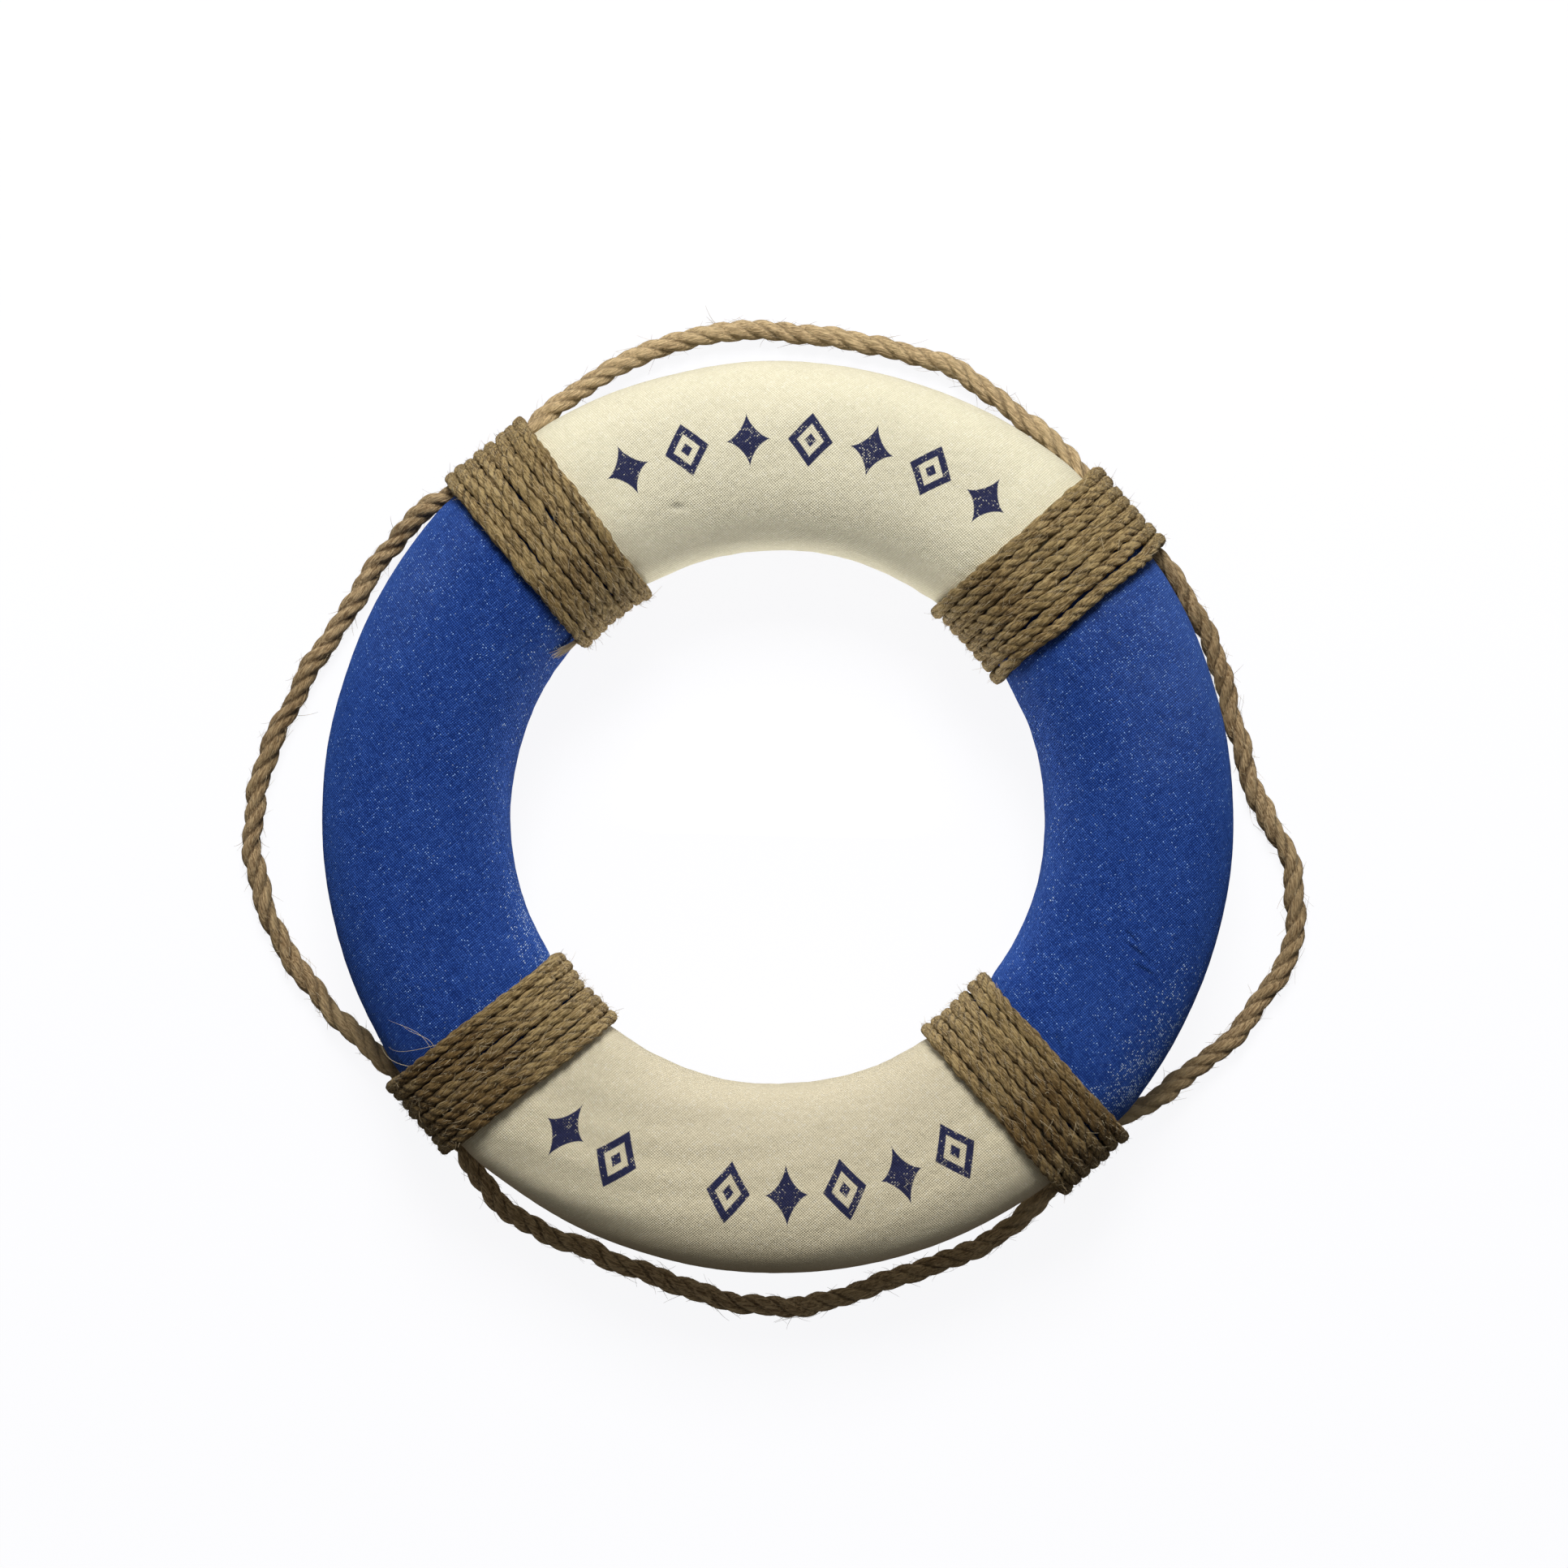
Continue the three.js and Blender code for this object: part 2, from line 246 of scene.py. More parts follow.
# small kinks that a stiff natural-fibre rope keeps, none where it is held under a lashing
free = smooth(rope_line[:, 2] * -1, -14.8, -9.0)
out_dir = normalise(rope_line * np.array([1, 1, 0]))
rope_line = rope_line + out_dir * (0.35 * wave(rope_s, 34, 3) * free)[:, None]
rope_line, rope_s = resample(rope_line, 1480)
ROPE_COLS = 64
rope_ring, rope_reach, rope_fibre, rope_shade, rope_frames = twisted_line(
    rope_line, rope_s, np.array([0.0, 0.0, 1.0]), ROPE_COLS, ROPE_FULL, 27.0, 7, 100, 0.26, wobble=0.075, apart=1.50)
rope_ring[..., 2] = np.maximum(rope_ring[..., 2], 0.05)
verts, quads, tris = tube_arrays(rope_ring, rope_line)
# the two side bights are made darker and greyer
rope_turn = np.degrees(np.arctan2(rope_line[:, 1], rope_line[:, 0])) % 360.0
rope_darkening = 0.50 * (1 - smooth(np.abs(np.cos(np.radians(rope_turn - 94.0))), 0.50, 0.78)) * (1 + 0.3 * wave(rope_s, 90, 61))
rope_darkening = np.broadcast_to(np.clip(rope_darkening, 0, 1)[:, None], rope_ring.shape[:2])
# painted light: the rope is mixed toward the pale fibre colour along the top bight, where the key light falls, and on
# short stretches just outside the lower lashings that lie in the ring's shadow
rope_painted_light = 0.20 * smooth(np.sin(np.radians(rope_turn)), 0.62, 0.90)
for where, width, amount in ((325.0, 7.0, 0.58), (309.0, 7.0, 0.20), (214.0, 6.0, 0.26)):
    rope_painted_light = rope_painted_light + amount * np.exp(-((rope_turn - where) / width) ** 2)
rope_painted_light = np.broadcast_to(np.clip(rope_painted_light * (1 + 0.2 * wave(rope_s, 26, 67)), 0, 1)[:, None], rope_ring.shape[:2])
grab_rope = make_piece("grab_rope", verts, quads, tris, vectors={"fib": with_ends(rope_fibre, [0, 0, 0])},
                       floats={"shade": with_ends(rope_shade, 0.5), "darkening": with_ends(rope_darkening, 0.0), "pale": with_ends(rope_painted_light, 0.0)})
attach(grab_rope, "root")
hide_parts("grab_line")

# ---------------------------------------------------------------- lashings
# angle, number of turns, outer and inner half width over the cord, lean of the turns (tangential per radial mm), and
# spacing of the turns from the low-angle side, as shares of the width (wider numbers leave a gap)
LASHINGS = {
    "lashing_top_right": (45.8, 19.8, 19.0, -0.030, [1.16, 1.0, 1.0, 0.99, 1.01, 1.0, 0.99], 11),
    "lashing_top_left": (132.8, 19.2, 17.2, -0.014, [1.0, 0.98, 1.05, 0.99, 1.0, 1.0, 0.98], 12),
    "lashing_bottom_left": (224.4, 18.0, 17.2, -0.045, [1.0, 1.0, 0.97, 1.04, 1.0, 0.98, 1.0], 13),
    "lashing_bottom_right": (316.8, 16.9, 16.4, -0.030, [1.0, 1.02, 0.98, 1.0, 1.03, 0.98], 14),
}
HULL_T = np.linspace(-24, 24, 33)
HULL_A = np.radians(np.arange(0, 361, 3.0))


def convex_hull(points):
    points = points[np.lexsort((points[:, 1], points[:, 0]))]

    def half(seq):
        chain = []
        for q in seq:
            while len(chain) >= 2:
                u, v = chain[-1] - chain[-2], q - chain[-2]
                if u[0] * v[1] - u[1] * v[0] <= 0:
                    chain.pop()
                else:
                    break
            chain.append(q)
        return chain[:-1]

    return np.array(half(points) + half(points[::-1]))


def lashing_reach(angle, cord_centre):
    """How far a cord's centreline lies from the middle of the section, by tangential offset and by angle round the section: the convex outline of the ring and of the grab line beside it."""
    er = np.array([math.cos(math.radians(angle)), math.sin(math.radians(angle))])
    et = np.array([-er[1], er[0]])
    near = rope_line[:, :2] @ er > 120
    local_t, local_x, local_z = rope_line[near][:, :2] @ et, rope_line[near][:, :2] @ er, rope_line[near][:, 2]
    keep = np.abs(local_t) < 30
    order = np.argsort(local_t[keep])
    lt, lx, lz = local_t[keep][order], local_x[keep][order], local_z[keep][order]
    theta = np.radians(np.arange(0, 360, 3.0))
    table = np.empty((len(HULL_T), len(HULL_A)))
    for i, t in enumerate(HULL_T):
        xc = math.sqrt(RING_RADIUS ** 2 - t * t)
        ring = np.stack([np.sqrt((RING_RADIUS + cord_centre * bulge(theta) * np.cos(theta)) ** 2 - t * t) - xc, (cord_centre - FLATTEN) * bulge(theta) * np.sin(theta)], axis=1)
        rx, rz = np.interp(t, lt, lx) - xc, np.interp(t, lt, lz) - SECTION_HEIGHT
        size = ROPE_RADIUS + CORD_RADIUS - 0.2
        rope = np.stack([rx + size * np.cos(theta), rz + size * np.sin(theta)], axis=1)
        hull = convex_hull(np.concatenate([ring, rope]))
        a, b = hull, np.roll(hull, -1, axis=0)
        edge = b - a
        nrm = np.stack([edge[:, 1], -edge[:, 0]], axis=1) / np.linalg.norm(edge, axis=1, keepdims=True)
        dist = np.sum(nrm * a, axis=1)
        facing = np.cos(HULL_A)[:, None] * nrm[None, :, 0] + np.sin(HULL_A)[:, None] * nrm[None, :, 1]
        table[i] = np.where(facing > 1e-6, dist[None, :] / np.maximum(facing, 1e-6), 1e9).min(axis=1)
    # soften the corners a little, as a stiff cord does
    for _ in range(3):
        body = table[:, :-1]
        body = (np.roll(body, 1, axis=1) + 2 * body + np.roll(body, -1, axis=1)) / 4
        table = np.concatenate([np.maximum(body, table[:, :-1] - 0.15), body[:, :1]], axis=1)
    return table


def interp_table(table, t, a):
    a = np.mod(a, 2 * np.pi)
    ti = np.clip((t - HULL_T[0]) / (HULL_T[1] - HULL_T[0]), 0, len(HULL_T) - 1.001)
    ai = np.clip(a / (HULL_A[1] - HULL_A[0]), 0, len(HULL_A) - 1.001)
    i, j = ti.astype(int), ai.astype(int)
    f, g = ti - i, ai - j
    return ((1 - f) * (1 - g) * table[i, j] + f * (1 - g) * table[i + 1, j] + (1 - f) * g * table[i, j + 1] + f * g * table[i + 1, j + 1])


def lashing_line(angle, outer, inner, lean, gaps, seed):
    turns = len(gaps) + 1
    place = np.concatenate([[0.0], np.cumsum(gaps)])
    place = place / place[-1] * 2 - 1
    out_t = place * (outer - CORD_RADIUS) + lean * 36
    in_t = place * (inner - CORD_RADIUS) - lean * 36
    table = lashing_reach(angle, CORD_CENTRE)
    # the winding runs outside to top to inside to underneath, and moves one place along underneath
    u = np.arange(-0.165, turns - 1 + 0.69, 1 / 900.0)
    turn = np.clip(np.floor(u).astype(int), 0, turns - 1)
    nxt = np.clip(np.floor(u).astype(int) + 1, 0, turns - 1)
    a = 2 * np.pi * (u - np.floor(u))
    w = (1 - np.cos(np.clip(a, 0, np.pi))) / 2
    top = out_t[turn] * (1 - w) + in_t[turn] * w
    under = smooth(a, np.pi * 1.05, np.pi * 1.95)
    before = np.where(u < 0, out_t[0], in_t[turn])
    after = np.where(u < 0, out_t[0], out_t[nxt])
    t = np.where(a <= np.pi, top, before * (1 - under) + after * under)
    arc = u * 250.0
    t = t + 0.24 * wave(arc, 70, seed) + 0.10 * wave(arc, 22, seed + 1)
    reach = interp_table(table, t, a) + 0.14 * wave(arc, 60, seed + 2) + 0.14
    xc = np.sqrt(RING_RADIUS ** 2 - t * t)
    x = xc + reach * np.cos(a)
    z = np.maximum(SECTION_HEIGHT + reach * np.sin(a), CORD_RADIUS + 0.03)
    er = np.array([math.cos(math.radians(angle)), math.sin(math.radians(angle)), 0])
    et = np.array([-er[1], er[0], 0])
    return x[:, None] * er + t[:, None] * et + z[:, None] * np.array([0, 0, 1.0])


LASH_COLS = 32
lashings = {}
for name, (angle, outer, inner, lean, gaps, seed) in LASHINGS.items():
    line = lashing_line(angle, outer, inner, lean, gaps, seed)
    line, s = resample(line, int(len(gaps) + 1) * 300)
    first = normalise(line[0] - np.array([RING_RADIUS * math.cos(math.radians(angle)), RING_RADIUS * math.sin(math.radians(angle)), SECTION_HEIGHT]))
    ring, reach, fibre, shade, frames = twisted_line(line, s, first, LASH_COLS, CORD_FULL, 16.8, 5, seed * 31, 0.24, wobble=0.10, apart=1.42)
    # neighbouring turns press each other into a squarer section, as wide as the space they have
    er = np.array([math.cos(math.radians(angle)), math.sin(math.radians(angle)), 0.0])
    et = np.array([-er[1], er[0], 0.0])
    across = np.clip(((line @ er) - RING_RADIUS) / CORD_CENTRE, -1, 1)
    turn_width = 2 * (outer * (1 + across) / 2 + inner * (1 - across) / 2 - CORD_RADIUS) / len(gaps)
    stretch = np.maximum(turn_width / 2 * 1.05 / CORD_FULL, 0.93)
    offset = ring - line[:, None, :]
    side = (offset @ et)[..., None] * et
    other = offset - side
    side = side * stretch[:, None, None]
    ls, lo = np.linalg.norm(side, axis=-1), np.linalg.norm(other, axis=-1)
    full = np.hypot(ls, lo)
    square = ((ls / full) ** 2.7 + (lo / full) ** 2.7) ** (-1 / 2.7)
    ring = line[:, None, :] + (side + other) * square[..., None]
    ring[..., 2] = np.maximum(ring[..., 2], 0.0)
    # painted shade: each lashing is darkened on the part of its section that faces away from the key light, towards the
    # outside on the bottom lashings and on the inner half on the top lashings
    if "bottom" in name:
        darkening = smooth(across, -0.90, 0.55) * (1 - 0.45 * smooth(across, 0.80, 0.97))
    else:
        darkening = 0.46 * np.exp(-((across + 0.54) / 0.24) ** 2)
    darkening = np.clip(darkening * (1 + 0.25 * wave(s, 40, seed + 77)), 0, 1)
    darkening = np.broadcast_to(darkening[:, None], ring.shape[:2])
    # the cord draws in at its two cut ends
    taper = 0.45 + 0.55 * smooth(np.minimum(s, s[-1] - s), 0.0, 5.0)
    ring = line[:, None, :] + (ring - line[:, None, :]) * taper[:, None, None]
    fibre = fibre + np.array([seed * 13.0, 0, 0])
    verts, quads, tris = tube_arrays(ring, line)
    obj = make_piece(name + "_cord", verts, quads, tris, vectors={"fib": with_ends(fibre, [0, 0, 0])},
                     floats={"shade": with_ends(shade, 0.5), "darkening": with_ends(darkening, 0.0)})
    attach(obj, "root")
    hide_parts(name)
    lashings[name] = dict(obj=obj, line=line, s=s, frames=frames, reach=reach, angle=angle, outer=outer, inner=inner)


# ---------------------------------------------------------------- loose fibres
def hair_piece(name, strands, thickness):
    """Each strand is a line of points; a three-sided closed hair of that thickness along each, thinning to its tip."""
    verts, quads, tris, fib, tones = [], [], [], [], []
    base = 0
    for k, (pts, scale, tone) in enumerate(strands):
        n = len(pts)
        tangent = normalise(np.gradient(pts, axis=0))
        side = np.cross(tangent, np.array([0.31, 0.52, 0.79]))
        side = normalise(side)
        up = np.cross(tangent, side)
        radius = thickness / 2 * scale * np.linspace(1.0, 0.35, n)
        for j in range(3):
            a = 2 * np.pi * j / 3
            verts.append(pts + radius[:, None] * (math.cos(a) * side + math.sin(a) * up))
        fib.append(np.full((3 * n, 3), 1.0) * np.array([k * 0.37, k * 0.11, k * 0.9]))
        tones.append(np.full(3 * n, tone))
        i = np.arange(n - 1)
        for j in range(3):
            j1 = (j + 1) % 3
            quads.append(np.stack([base + j * n + i, base + j1 * n + i, base + j1 * n + i + 1, base + j * n + i + 1], axis=1))
        tris.append([[base, base + 2 * n, base + n], [base + n - 1, base + 2 * n - 1, base + 3 * n - 1]])
        base += 3 * n
    verts = np.concatenate(verts)
    verts[:, 2] = np.maximum(verts[:, 2], 0.03)
    return make_piece(name, verts, np.concatenate(quads), np.concatenate(tris),
                      vectors={"fib": np.concatenate(fib)}, floats={"shade": np.concatenate(tones)})


def stray(rng, root, out, along, length, spread, lift=0.0, n=7):
    """A curved fibre that leaves the surface at root and bends back."""
    direction = normalise(along * rng.choice([-1.0, 1.0]) * rng.uniform(0.5, 1.3) + out * rng.uniform(0.15, 0.9) * spread + rng.normal(0, 0.22, 3))
    bend = rng.normal(0, 1.0, 3)
    bend = bend - direction * (bend @ direction)
    bend = normalise(bend) * rng.uniform(0.1, 0.9) - out * 0.25
    w = np.linspace(0, 1, n)[:, None]
    return root + direction * length * w + bend * length * 0.45 * w ** 2 + np.array([0, 0, lift]) * w ** 2


rng = np.random.default_rng(2024)
strands = []
tangent, normal, binormal = rope_frames
for _ in range(2600):
    i = rng.integers(20, len(rope_s) - 20)
    j = rng.integers(0, ROPE_COLS)
    if rope_line[i, 2] > 15.2:
        continue
    root = rope_ring[i, j]
    out = normalise(root - rope_line[i])
    strands.append((stray(rng, root - out * 0.15, out, tangent[i], rng.gamma(2.2, 1.25) + 1.2, 0.8), rng.uniform(0.7, 1.3), rng.uniform(0.0, 1.0) ** 2))
rope_hair = hair_piece("grab_rope_loose_fibres", strands, 0.17)
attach(rope_hair, "root")

hair_pieces = []
for name, data in lashings.items():
    strands = []
    line, s, reach = data["line"], data["s"], data["reach"]
    tangent, normal, binormal = data["frames"]
    er = np.array([math.cos(math.radians(data["angle"])), math.sin(math.radians(data["angle"])), 0])
    et = np.array([-er[1], er[0], 0])
    for _ in range(4200):
        i = rng.integers(5, len(s) - 5)
        centre = er * math.sqrt(max(RING_RADIUS ** 2 - (line[i] @ et) ** 2, 1)) + et * (line[i] @ et) + np.array([0, 0, SECTION_HEIGHT])
        out = normalise(line[i] - centre)
        if out[2] < -0.75:
            continue
        side = rng.normal(0, 0.6)
        direction = normalise(out + side * np.cross(tangent[i], out))
        root = line[i] + direction * (CORD_RADIUS - 0.2)
        if root[2] < 1.0:
            continue
        strands.append((stray(rng, root, out, tangent[i], rng.gamma(2.0, 0.75) + 0.7, 0.55), rng.uniform(0.7, 1.25), rng.uniform(0.0, 1.0) ** 2))
    for _ in range(80):
        i = rng.integers(5, len(s) - 5)
        centre = er * math.sqrt(max(RING_RADIUS ** 2 - (line[i] @ et) ** 2, 1)) + et * (line[i] @ et) + np.array([0, 0, SECTION_HEIGHT])
        out = normalise(line[i] - centre)
        if out[2] < -0.5:
            continue
        root = line[i] + out * (CORD_RADIUS - 0.1)
        strands.append((stray(rng, root, out, tangent[i] + et * rng.normal(0, 0.5), rng.uniform(4.0, 8.0), 0.35, n=9), 1.15, rng.uniform(0.3, 0.8)))
    data["strands"] = strands


def on_ring(angle, theta, reach):
    a, t = np.radians(angle), np.radians(theta)
    rho = RING_RADIUS + reach * bulge(t) * np.cos(t)
    return np.stack([rho * np.cos(a), rho * np.sin(a), SECTION_HEIGHT + (reach - FLATTEN) * bulge(t) * np.sin(t)], axis=-1)


# long hairs on the blue side of the bottom left lashing, lying over the canvas
for k, (a0, th0, a1, th1, lift) in enumerate([(217.6, 62, 211.4, 46, 1.6), (217.9, 58, 212.8, 60, 2.4), (218.2, 66, 214.5, 40, 1.0), (218.0, 40, 213.0, 30, 1.5)]):
    w = np.linspace(0, 1, 14)
    pts = on_ring(a0 + (a1 - a0) * w, th0 + (th1 - th0) * w + 7 * np.sin(w * 3.0 + k), COVER_RADIUS + 0.4 + lift * np.sin(w * np.pi * 0.9))
    lashings["lashing_bottom_left"]["strands"].append((pts, 1.5, 1.0))
# the frayed tail of the top left lashing, on the blue canvas at the inner edge
tail_rng = np.random.default_rng(5)
for k in range(46):
    w = np.linspace(0, 1, 10)
    spread = tail_rng.normal(0, 1.0)
    reach_end = tail_rng.uniform(0.75, 1.15)
    pts = on_ring(141.2 + 6.4 * w * reach_end + 0.25 * tail_rng.normal(), 165 - 12 * w * reach_end + spread * (0.8 + 2.6 * w),
                  COVER_RADIUS + 0.5 + 0.7 * np.sin(w * 2.6) + 0.25 * tail_rng.normal() + 0.5)
    lashings["lashing_top_left"]["strands"].append((pts, tail_rng.uniform(1.8, 3.0), tail_rng.uniform(0.35, 0.9)))
for name, data in lashings.items():
    obj = hair_piece(name + "_loose_fibres", data["strands"], 0.17)
    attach(obj, "root")
    hair_pieces.append(obj)

# ---------------------------------------------------------------- foam ring, under the canvas
FA, FT = 216, 56
fa = np.linspace(0, 2 * np.pi, FA, endpoint=False)[:, None]
ft = np.linspace(0, 2 * np.pi, FT, endpoint=False)[None, :]
beads = 0.14 * np.sin(fa * 61 + 2.1 * np.sin(ft * 5)) * np.sin(ft * 19 + 1.7 * np.sin(fa * 13)) + 0.08 * np.sin(fa * 97 + ft * 11)
fr = FOAM_RADIUS - 0.25 + beads
foam_rho = RING_RADIUS + fr * bulge(ft) * np.cos(ft)
foam_verts = np.stack([foam_rho * np.cos(fa), foam_rho * np.sin(fa), SECTION_HEIGHT + (fr - FLATTEN) * bulge(ft) * np.sin(ft) + 0 * fa], axis=-1)
i = np.arange(FA)[:, None]
j = np.arange(FT)[None, :]
i1, j1 = (i + 1) % FA, (j + 1) % FT
foam_quads = np.stack([i * FT + j, i1 * FT + j, i1 * FT + j1, i * FT + j1], axis=-1).reshape(-1, 4)
foam = make_piece("foam_ring", foam_verts.reshape(-1, 3), foam_quads)
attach(foam, "root")
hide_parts("foam_core")

# ---------------------------------------------------------------- canvas panels
SEAM = 235.0
LAP = 19.1
PASS = math.degrees(5.6 / RING_RADIUS)
PANELS = {
    "canvas_cream_top": (45.8 + PASS - 0.9, 132.8 - PASS + 0.9, "cream", 21),
    "canvas_blue_left": (132.8 - PASS, 224.4 + PASS, "blue", 22),
    "canvas_cream_bottom": (224.4 + PASS - 0.9, 316.8 - PASS + 0.9, "cream", 23),
    "canvas_blue_right": (316.8 - PASS, 405.8 + PASS, "blue", 24),
}
LASH_ANGLES = [(v[0], v[1], v[2]) for v in LASHINGS.values()]


ARC_T = np.radians(np.linspace(0.0, 90.0, 181))
ARC_L = np.concatenate([[0.0], np.cumsum(np.hypot(COVER_RADIUS * np.diff(bulge(ARC_T) * np.sin(ARC_T)), (COVER_RADIUS - FLATTEN) * np.diff(bulge(ARC_T) * np.cos(ARC_T))))])


def arc_from_face(degrees):
    """Length along the section from the middle of its upper or lower face, for an angle of 0 to 90 from it."""
    return np.interp(np.radians(degrees), ARC_T, ARC_L)


def value_noise(x, y, seed):
    """Smooth two-way noise of about unit height, from sines turned every way."""
    r = np.random.default_rng(seed)
    out = np.zeros(np.broadcast(x, y).shape)
    for _ in range(9):
        d = r.uniform(0, np.pi)
        f = r.uniform(0.6, 1.6)
        out = out + np.sin((x * math.cos(d) + y * math.sin(d)) * f * 2 * np.pi + r.uniform(0, 2 * np.pi))
    return out / 2.4


def canvas_reach(angle, theta, seed, blue):
    """Outer reach of the canvas from the middle of the section, in mm. angle and theta are grids in degrees."""
    th = np.radians(theta)
    rho = RING_RADIUS + COVER_RADIUS * np.cos(th)
    along = np.radians(angle) * rho
    round_ = th * COVER_RADIUS
    reach = np.full(np.broadcast(angle, theta).shape, COVER_RADIUS) + 0.16 * value_noise(along / 60, round_ / 60, seed)
    for lash, outer, inner in LASH_ANGLES:
        turn = (angle - lash + 180.0) % 360.0 - 180.0
        off = np.sin(np.radians(turn)) * rho
        share = (1 - np.cos(th)) / 2
        edge = outer * (1 - share) + inner * share
        gap = np.abs(off) - edge
        gap = np.where(np.abs(turn) < 40, gap, 99.0)
        held = 1 - smooth(gap, -1.5, 5.0)
        reach = reach - 0.30 * held
        reach = reach + 0.22 * np.exp(-((gap - 9.0) / 6.0) ** 2)
        # short tucks that run away from the lashing, deepest on the tight inner side
        near = np.exp(-np.maximum(gap, 0) / 9.0) * smooth(gap, -2.0, 1.0)
        fold = np.sin(round_ / 1.35 + 2.2 * value_noise(round_ / 18, along * 0 + lash, seed + 5) + off * 0.03)
        depth = 0.05 + 0.16 * smooth(-np.cos(th), 0.1, 0.9) + 0.10 * smooth(np.cos(th), 0.3, 0.95)
        reach = reach + near * depth * fold
    # the cloth is eased on the inner side, where it is longer than the foam: shallow ripples that run round the section
    ease = smooth(-np.cos(th), 0.55, 1.0)
    reach = reach + 0.10 * ease * np.sin(along / 2.1 + 1.6 * value_noise(along / 25, round_ / 40, seed + 7)) * (0.5 + 0.5 * value_noise(along / 40, round_ / 90, seed + 8))
    reach = reach + 0.035 * value_noise(along / 7, round_ / 7, seed + 9)
    return reach


def canvas_panel(name, start, stop, tone, seed):
    blue = tone == "blue"
    rows, cols = 200, 170
    angle = np.linspace(start, stop, rows)[:, None]
    theta = np.linspace(SEAM, SEAM + 360.0 + LAP, cols)[None, :]
    reach = canvas_reach(angle, theta, seed, blue)
    lap = smooth(theta, SEAM + 360.0 - 7.0, SEAM + 360.0) * 0.80
    reach = reach + lap + 0.0 * angle
    if not blue:  # the cream ends lie under the blue ones
        end = np.minimum(angle - start, stop - angle)
        reach = reach - 0.75 * (1 - smooth(end, 0.95, 2.2))
    inner = reach - 0.60

    def place(r):
        th, an = np.radians(theta), np.radians(angle)
        rho = RING_RADIUS + r * bulge(th) * np.cos(th)
        return np.stack([rho * np.cos(an), rho * np.sin(an), SECTION_HEIGHT + (r - FLATTEN) * bulge(th) * np.sin(th)], axis=-1)

    outer_v, inner_v = place(reach), place(inner)
    n = rows * cols
    outer_q = grid_quads(rows, cols)
    inner_q = grid_quads(rows, cols, offset=n, flip=True)
    # angle grows along rows and theta along columns: check the outward side once
    a, b, c = outer_v[0, 0], outer_v[0, 1], outer_v[1, 0]
    middle = np.array([RING_RADIUS * math.cos(math.radians(start)), RING_RADIUS * math.sin(math.radians(start)), SECTION_HEIGHT])
    if np.dot(np.cross(b - a, c - a), a - middle) < 0:
        outer_q, inner_q = outer_q[:, ::-1], inner_q[:, ::-1]
        flip = True
    else:
        flip = False
    rims = []
    top = np.arange(cols - 1)
    rims.append(np.stack([top + 1, top, top + n, top + 1 + n], axis=1))
    last = (rows - 1) * cols + top
    rims.append(np.stack([last, last + 1, last + 1 + n, last + n], axis=1))
    left = np.arange(rows - 1) * cols
    rims.append(np.stack([left, left + cols, left + cols + n, left + n], axis=1))
    right = left + cols - 1
    rims.append(np.stack([right + cols, right, right + n, right + cols + n], axis=1))
    rims = np.concatenate(rims)
    if flip:
        rims = rims[:, ::-1]
    # flat pattern coordinates: the cloth lies flat on the upper and on the lower face, cut on the bias
    th = np.radians(theta) + 0 * angle
    from_top = np.abs(((theta + 0 * angle) - 90.0 + 180.0) % 360.0 - 180.0)  # 0 at the top, 180 underneath
    inward = np.where(((theta + 0 * angle) - 90.0) % 360.0 < 180.0, 1.0, -1.0)
    arc = arc_from_face(np.where(from_top <= 90, from_top, 180 - from_top))
    flat_rho = RING_RADIUS - inward * arc
    px = flat_rho * np.cos(np.radians(angle + 0 * theta))
    py = flat_rho * np.sin(np.radians(angle + 0 * theta))
    tilt = math.radians(45.0 + {21: 1.5, 22: -2.0, 23: 2.5, 24: -1.0}[seed])
    weave = np.stack([(px * math.cos(tilt) + py * math.sin(tilt)) / THREAD_PITCH, (-px * math.sin(tilt) + py * math.cos(tilt)) / THREAD_PITCH,
                      float(seed) + np.maximum(from_top - 62.0, 0.0) / 34.0], axis=-1)
    mark = np.stack([angle + 0 * theta, np.where(from_top <= 90, COVER_RADIUS * bulge(th) * np.cos(th), -400.0), 0 * px], axis=-1)
    section = np.stack([np.cos(th), np.sin(th), np.full_like(px, float(seed))], axis=-1)
    both = lambda v: np.concatenate([v.reshape(-1, 3), v.reshape(-1, 3)])
    obj = make_piece(name + "_cloth", np.concatenate([outer_v.reshape(-1, 3), inner_v.reshape(-1, 3)]),
                     np.concatenate([outer_q, inner_q, rims]), vectors={"weave": both(weave), "mark": both(mark), "section": both(section)})
    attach(obj, "root")
    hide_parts(name)
    # whip stitches over the edge of the lap, underneath
    edge = SEAM + LAP
    reach_at = lambda an, off: float(canvas_reach(np.array([[an]]), np.array([[edge + off]]), seed, blue)[0, 0])
    step = math.degrees(4.6 / (RING_RADIUS + COVER_RADIUS * math.cos(math.radians(edge))))
    stitches = []
    srng = np.random.default_rng(seed)
    for an in np.arange(start + 1.0, stop - 1.0, step):
        w = np.linspace(0, 1, 8)
        off = -3.6 + 5.6 * w + srng.normal(0, 0.15)
        lift = 0.25 + 0.35 * np.sin(w * np.pi) + np.where(off < 0, 0.80, 0.0) * smooth(-off, -0.3, 0.4) + 0.05
        base = reach_at(an, 0.0)
        pts = on_ring(an + (w - 0.5) * step * 0.45, edge + off, base + lift)
        stitches.append((pts, 1.0))
    thread = stitch_piece(name + "_stitches", stitches, 0.36)
    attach(thread, "root")
    return obj, thread


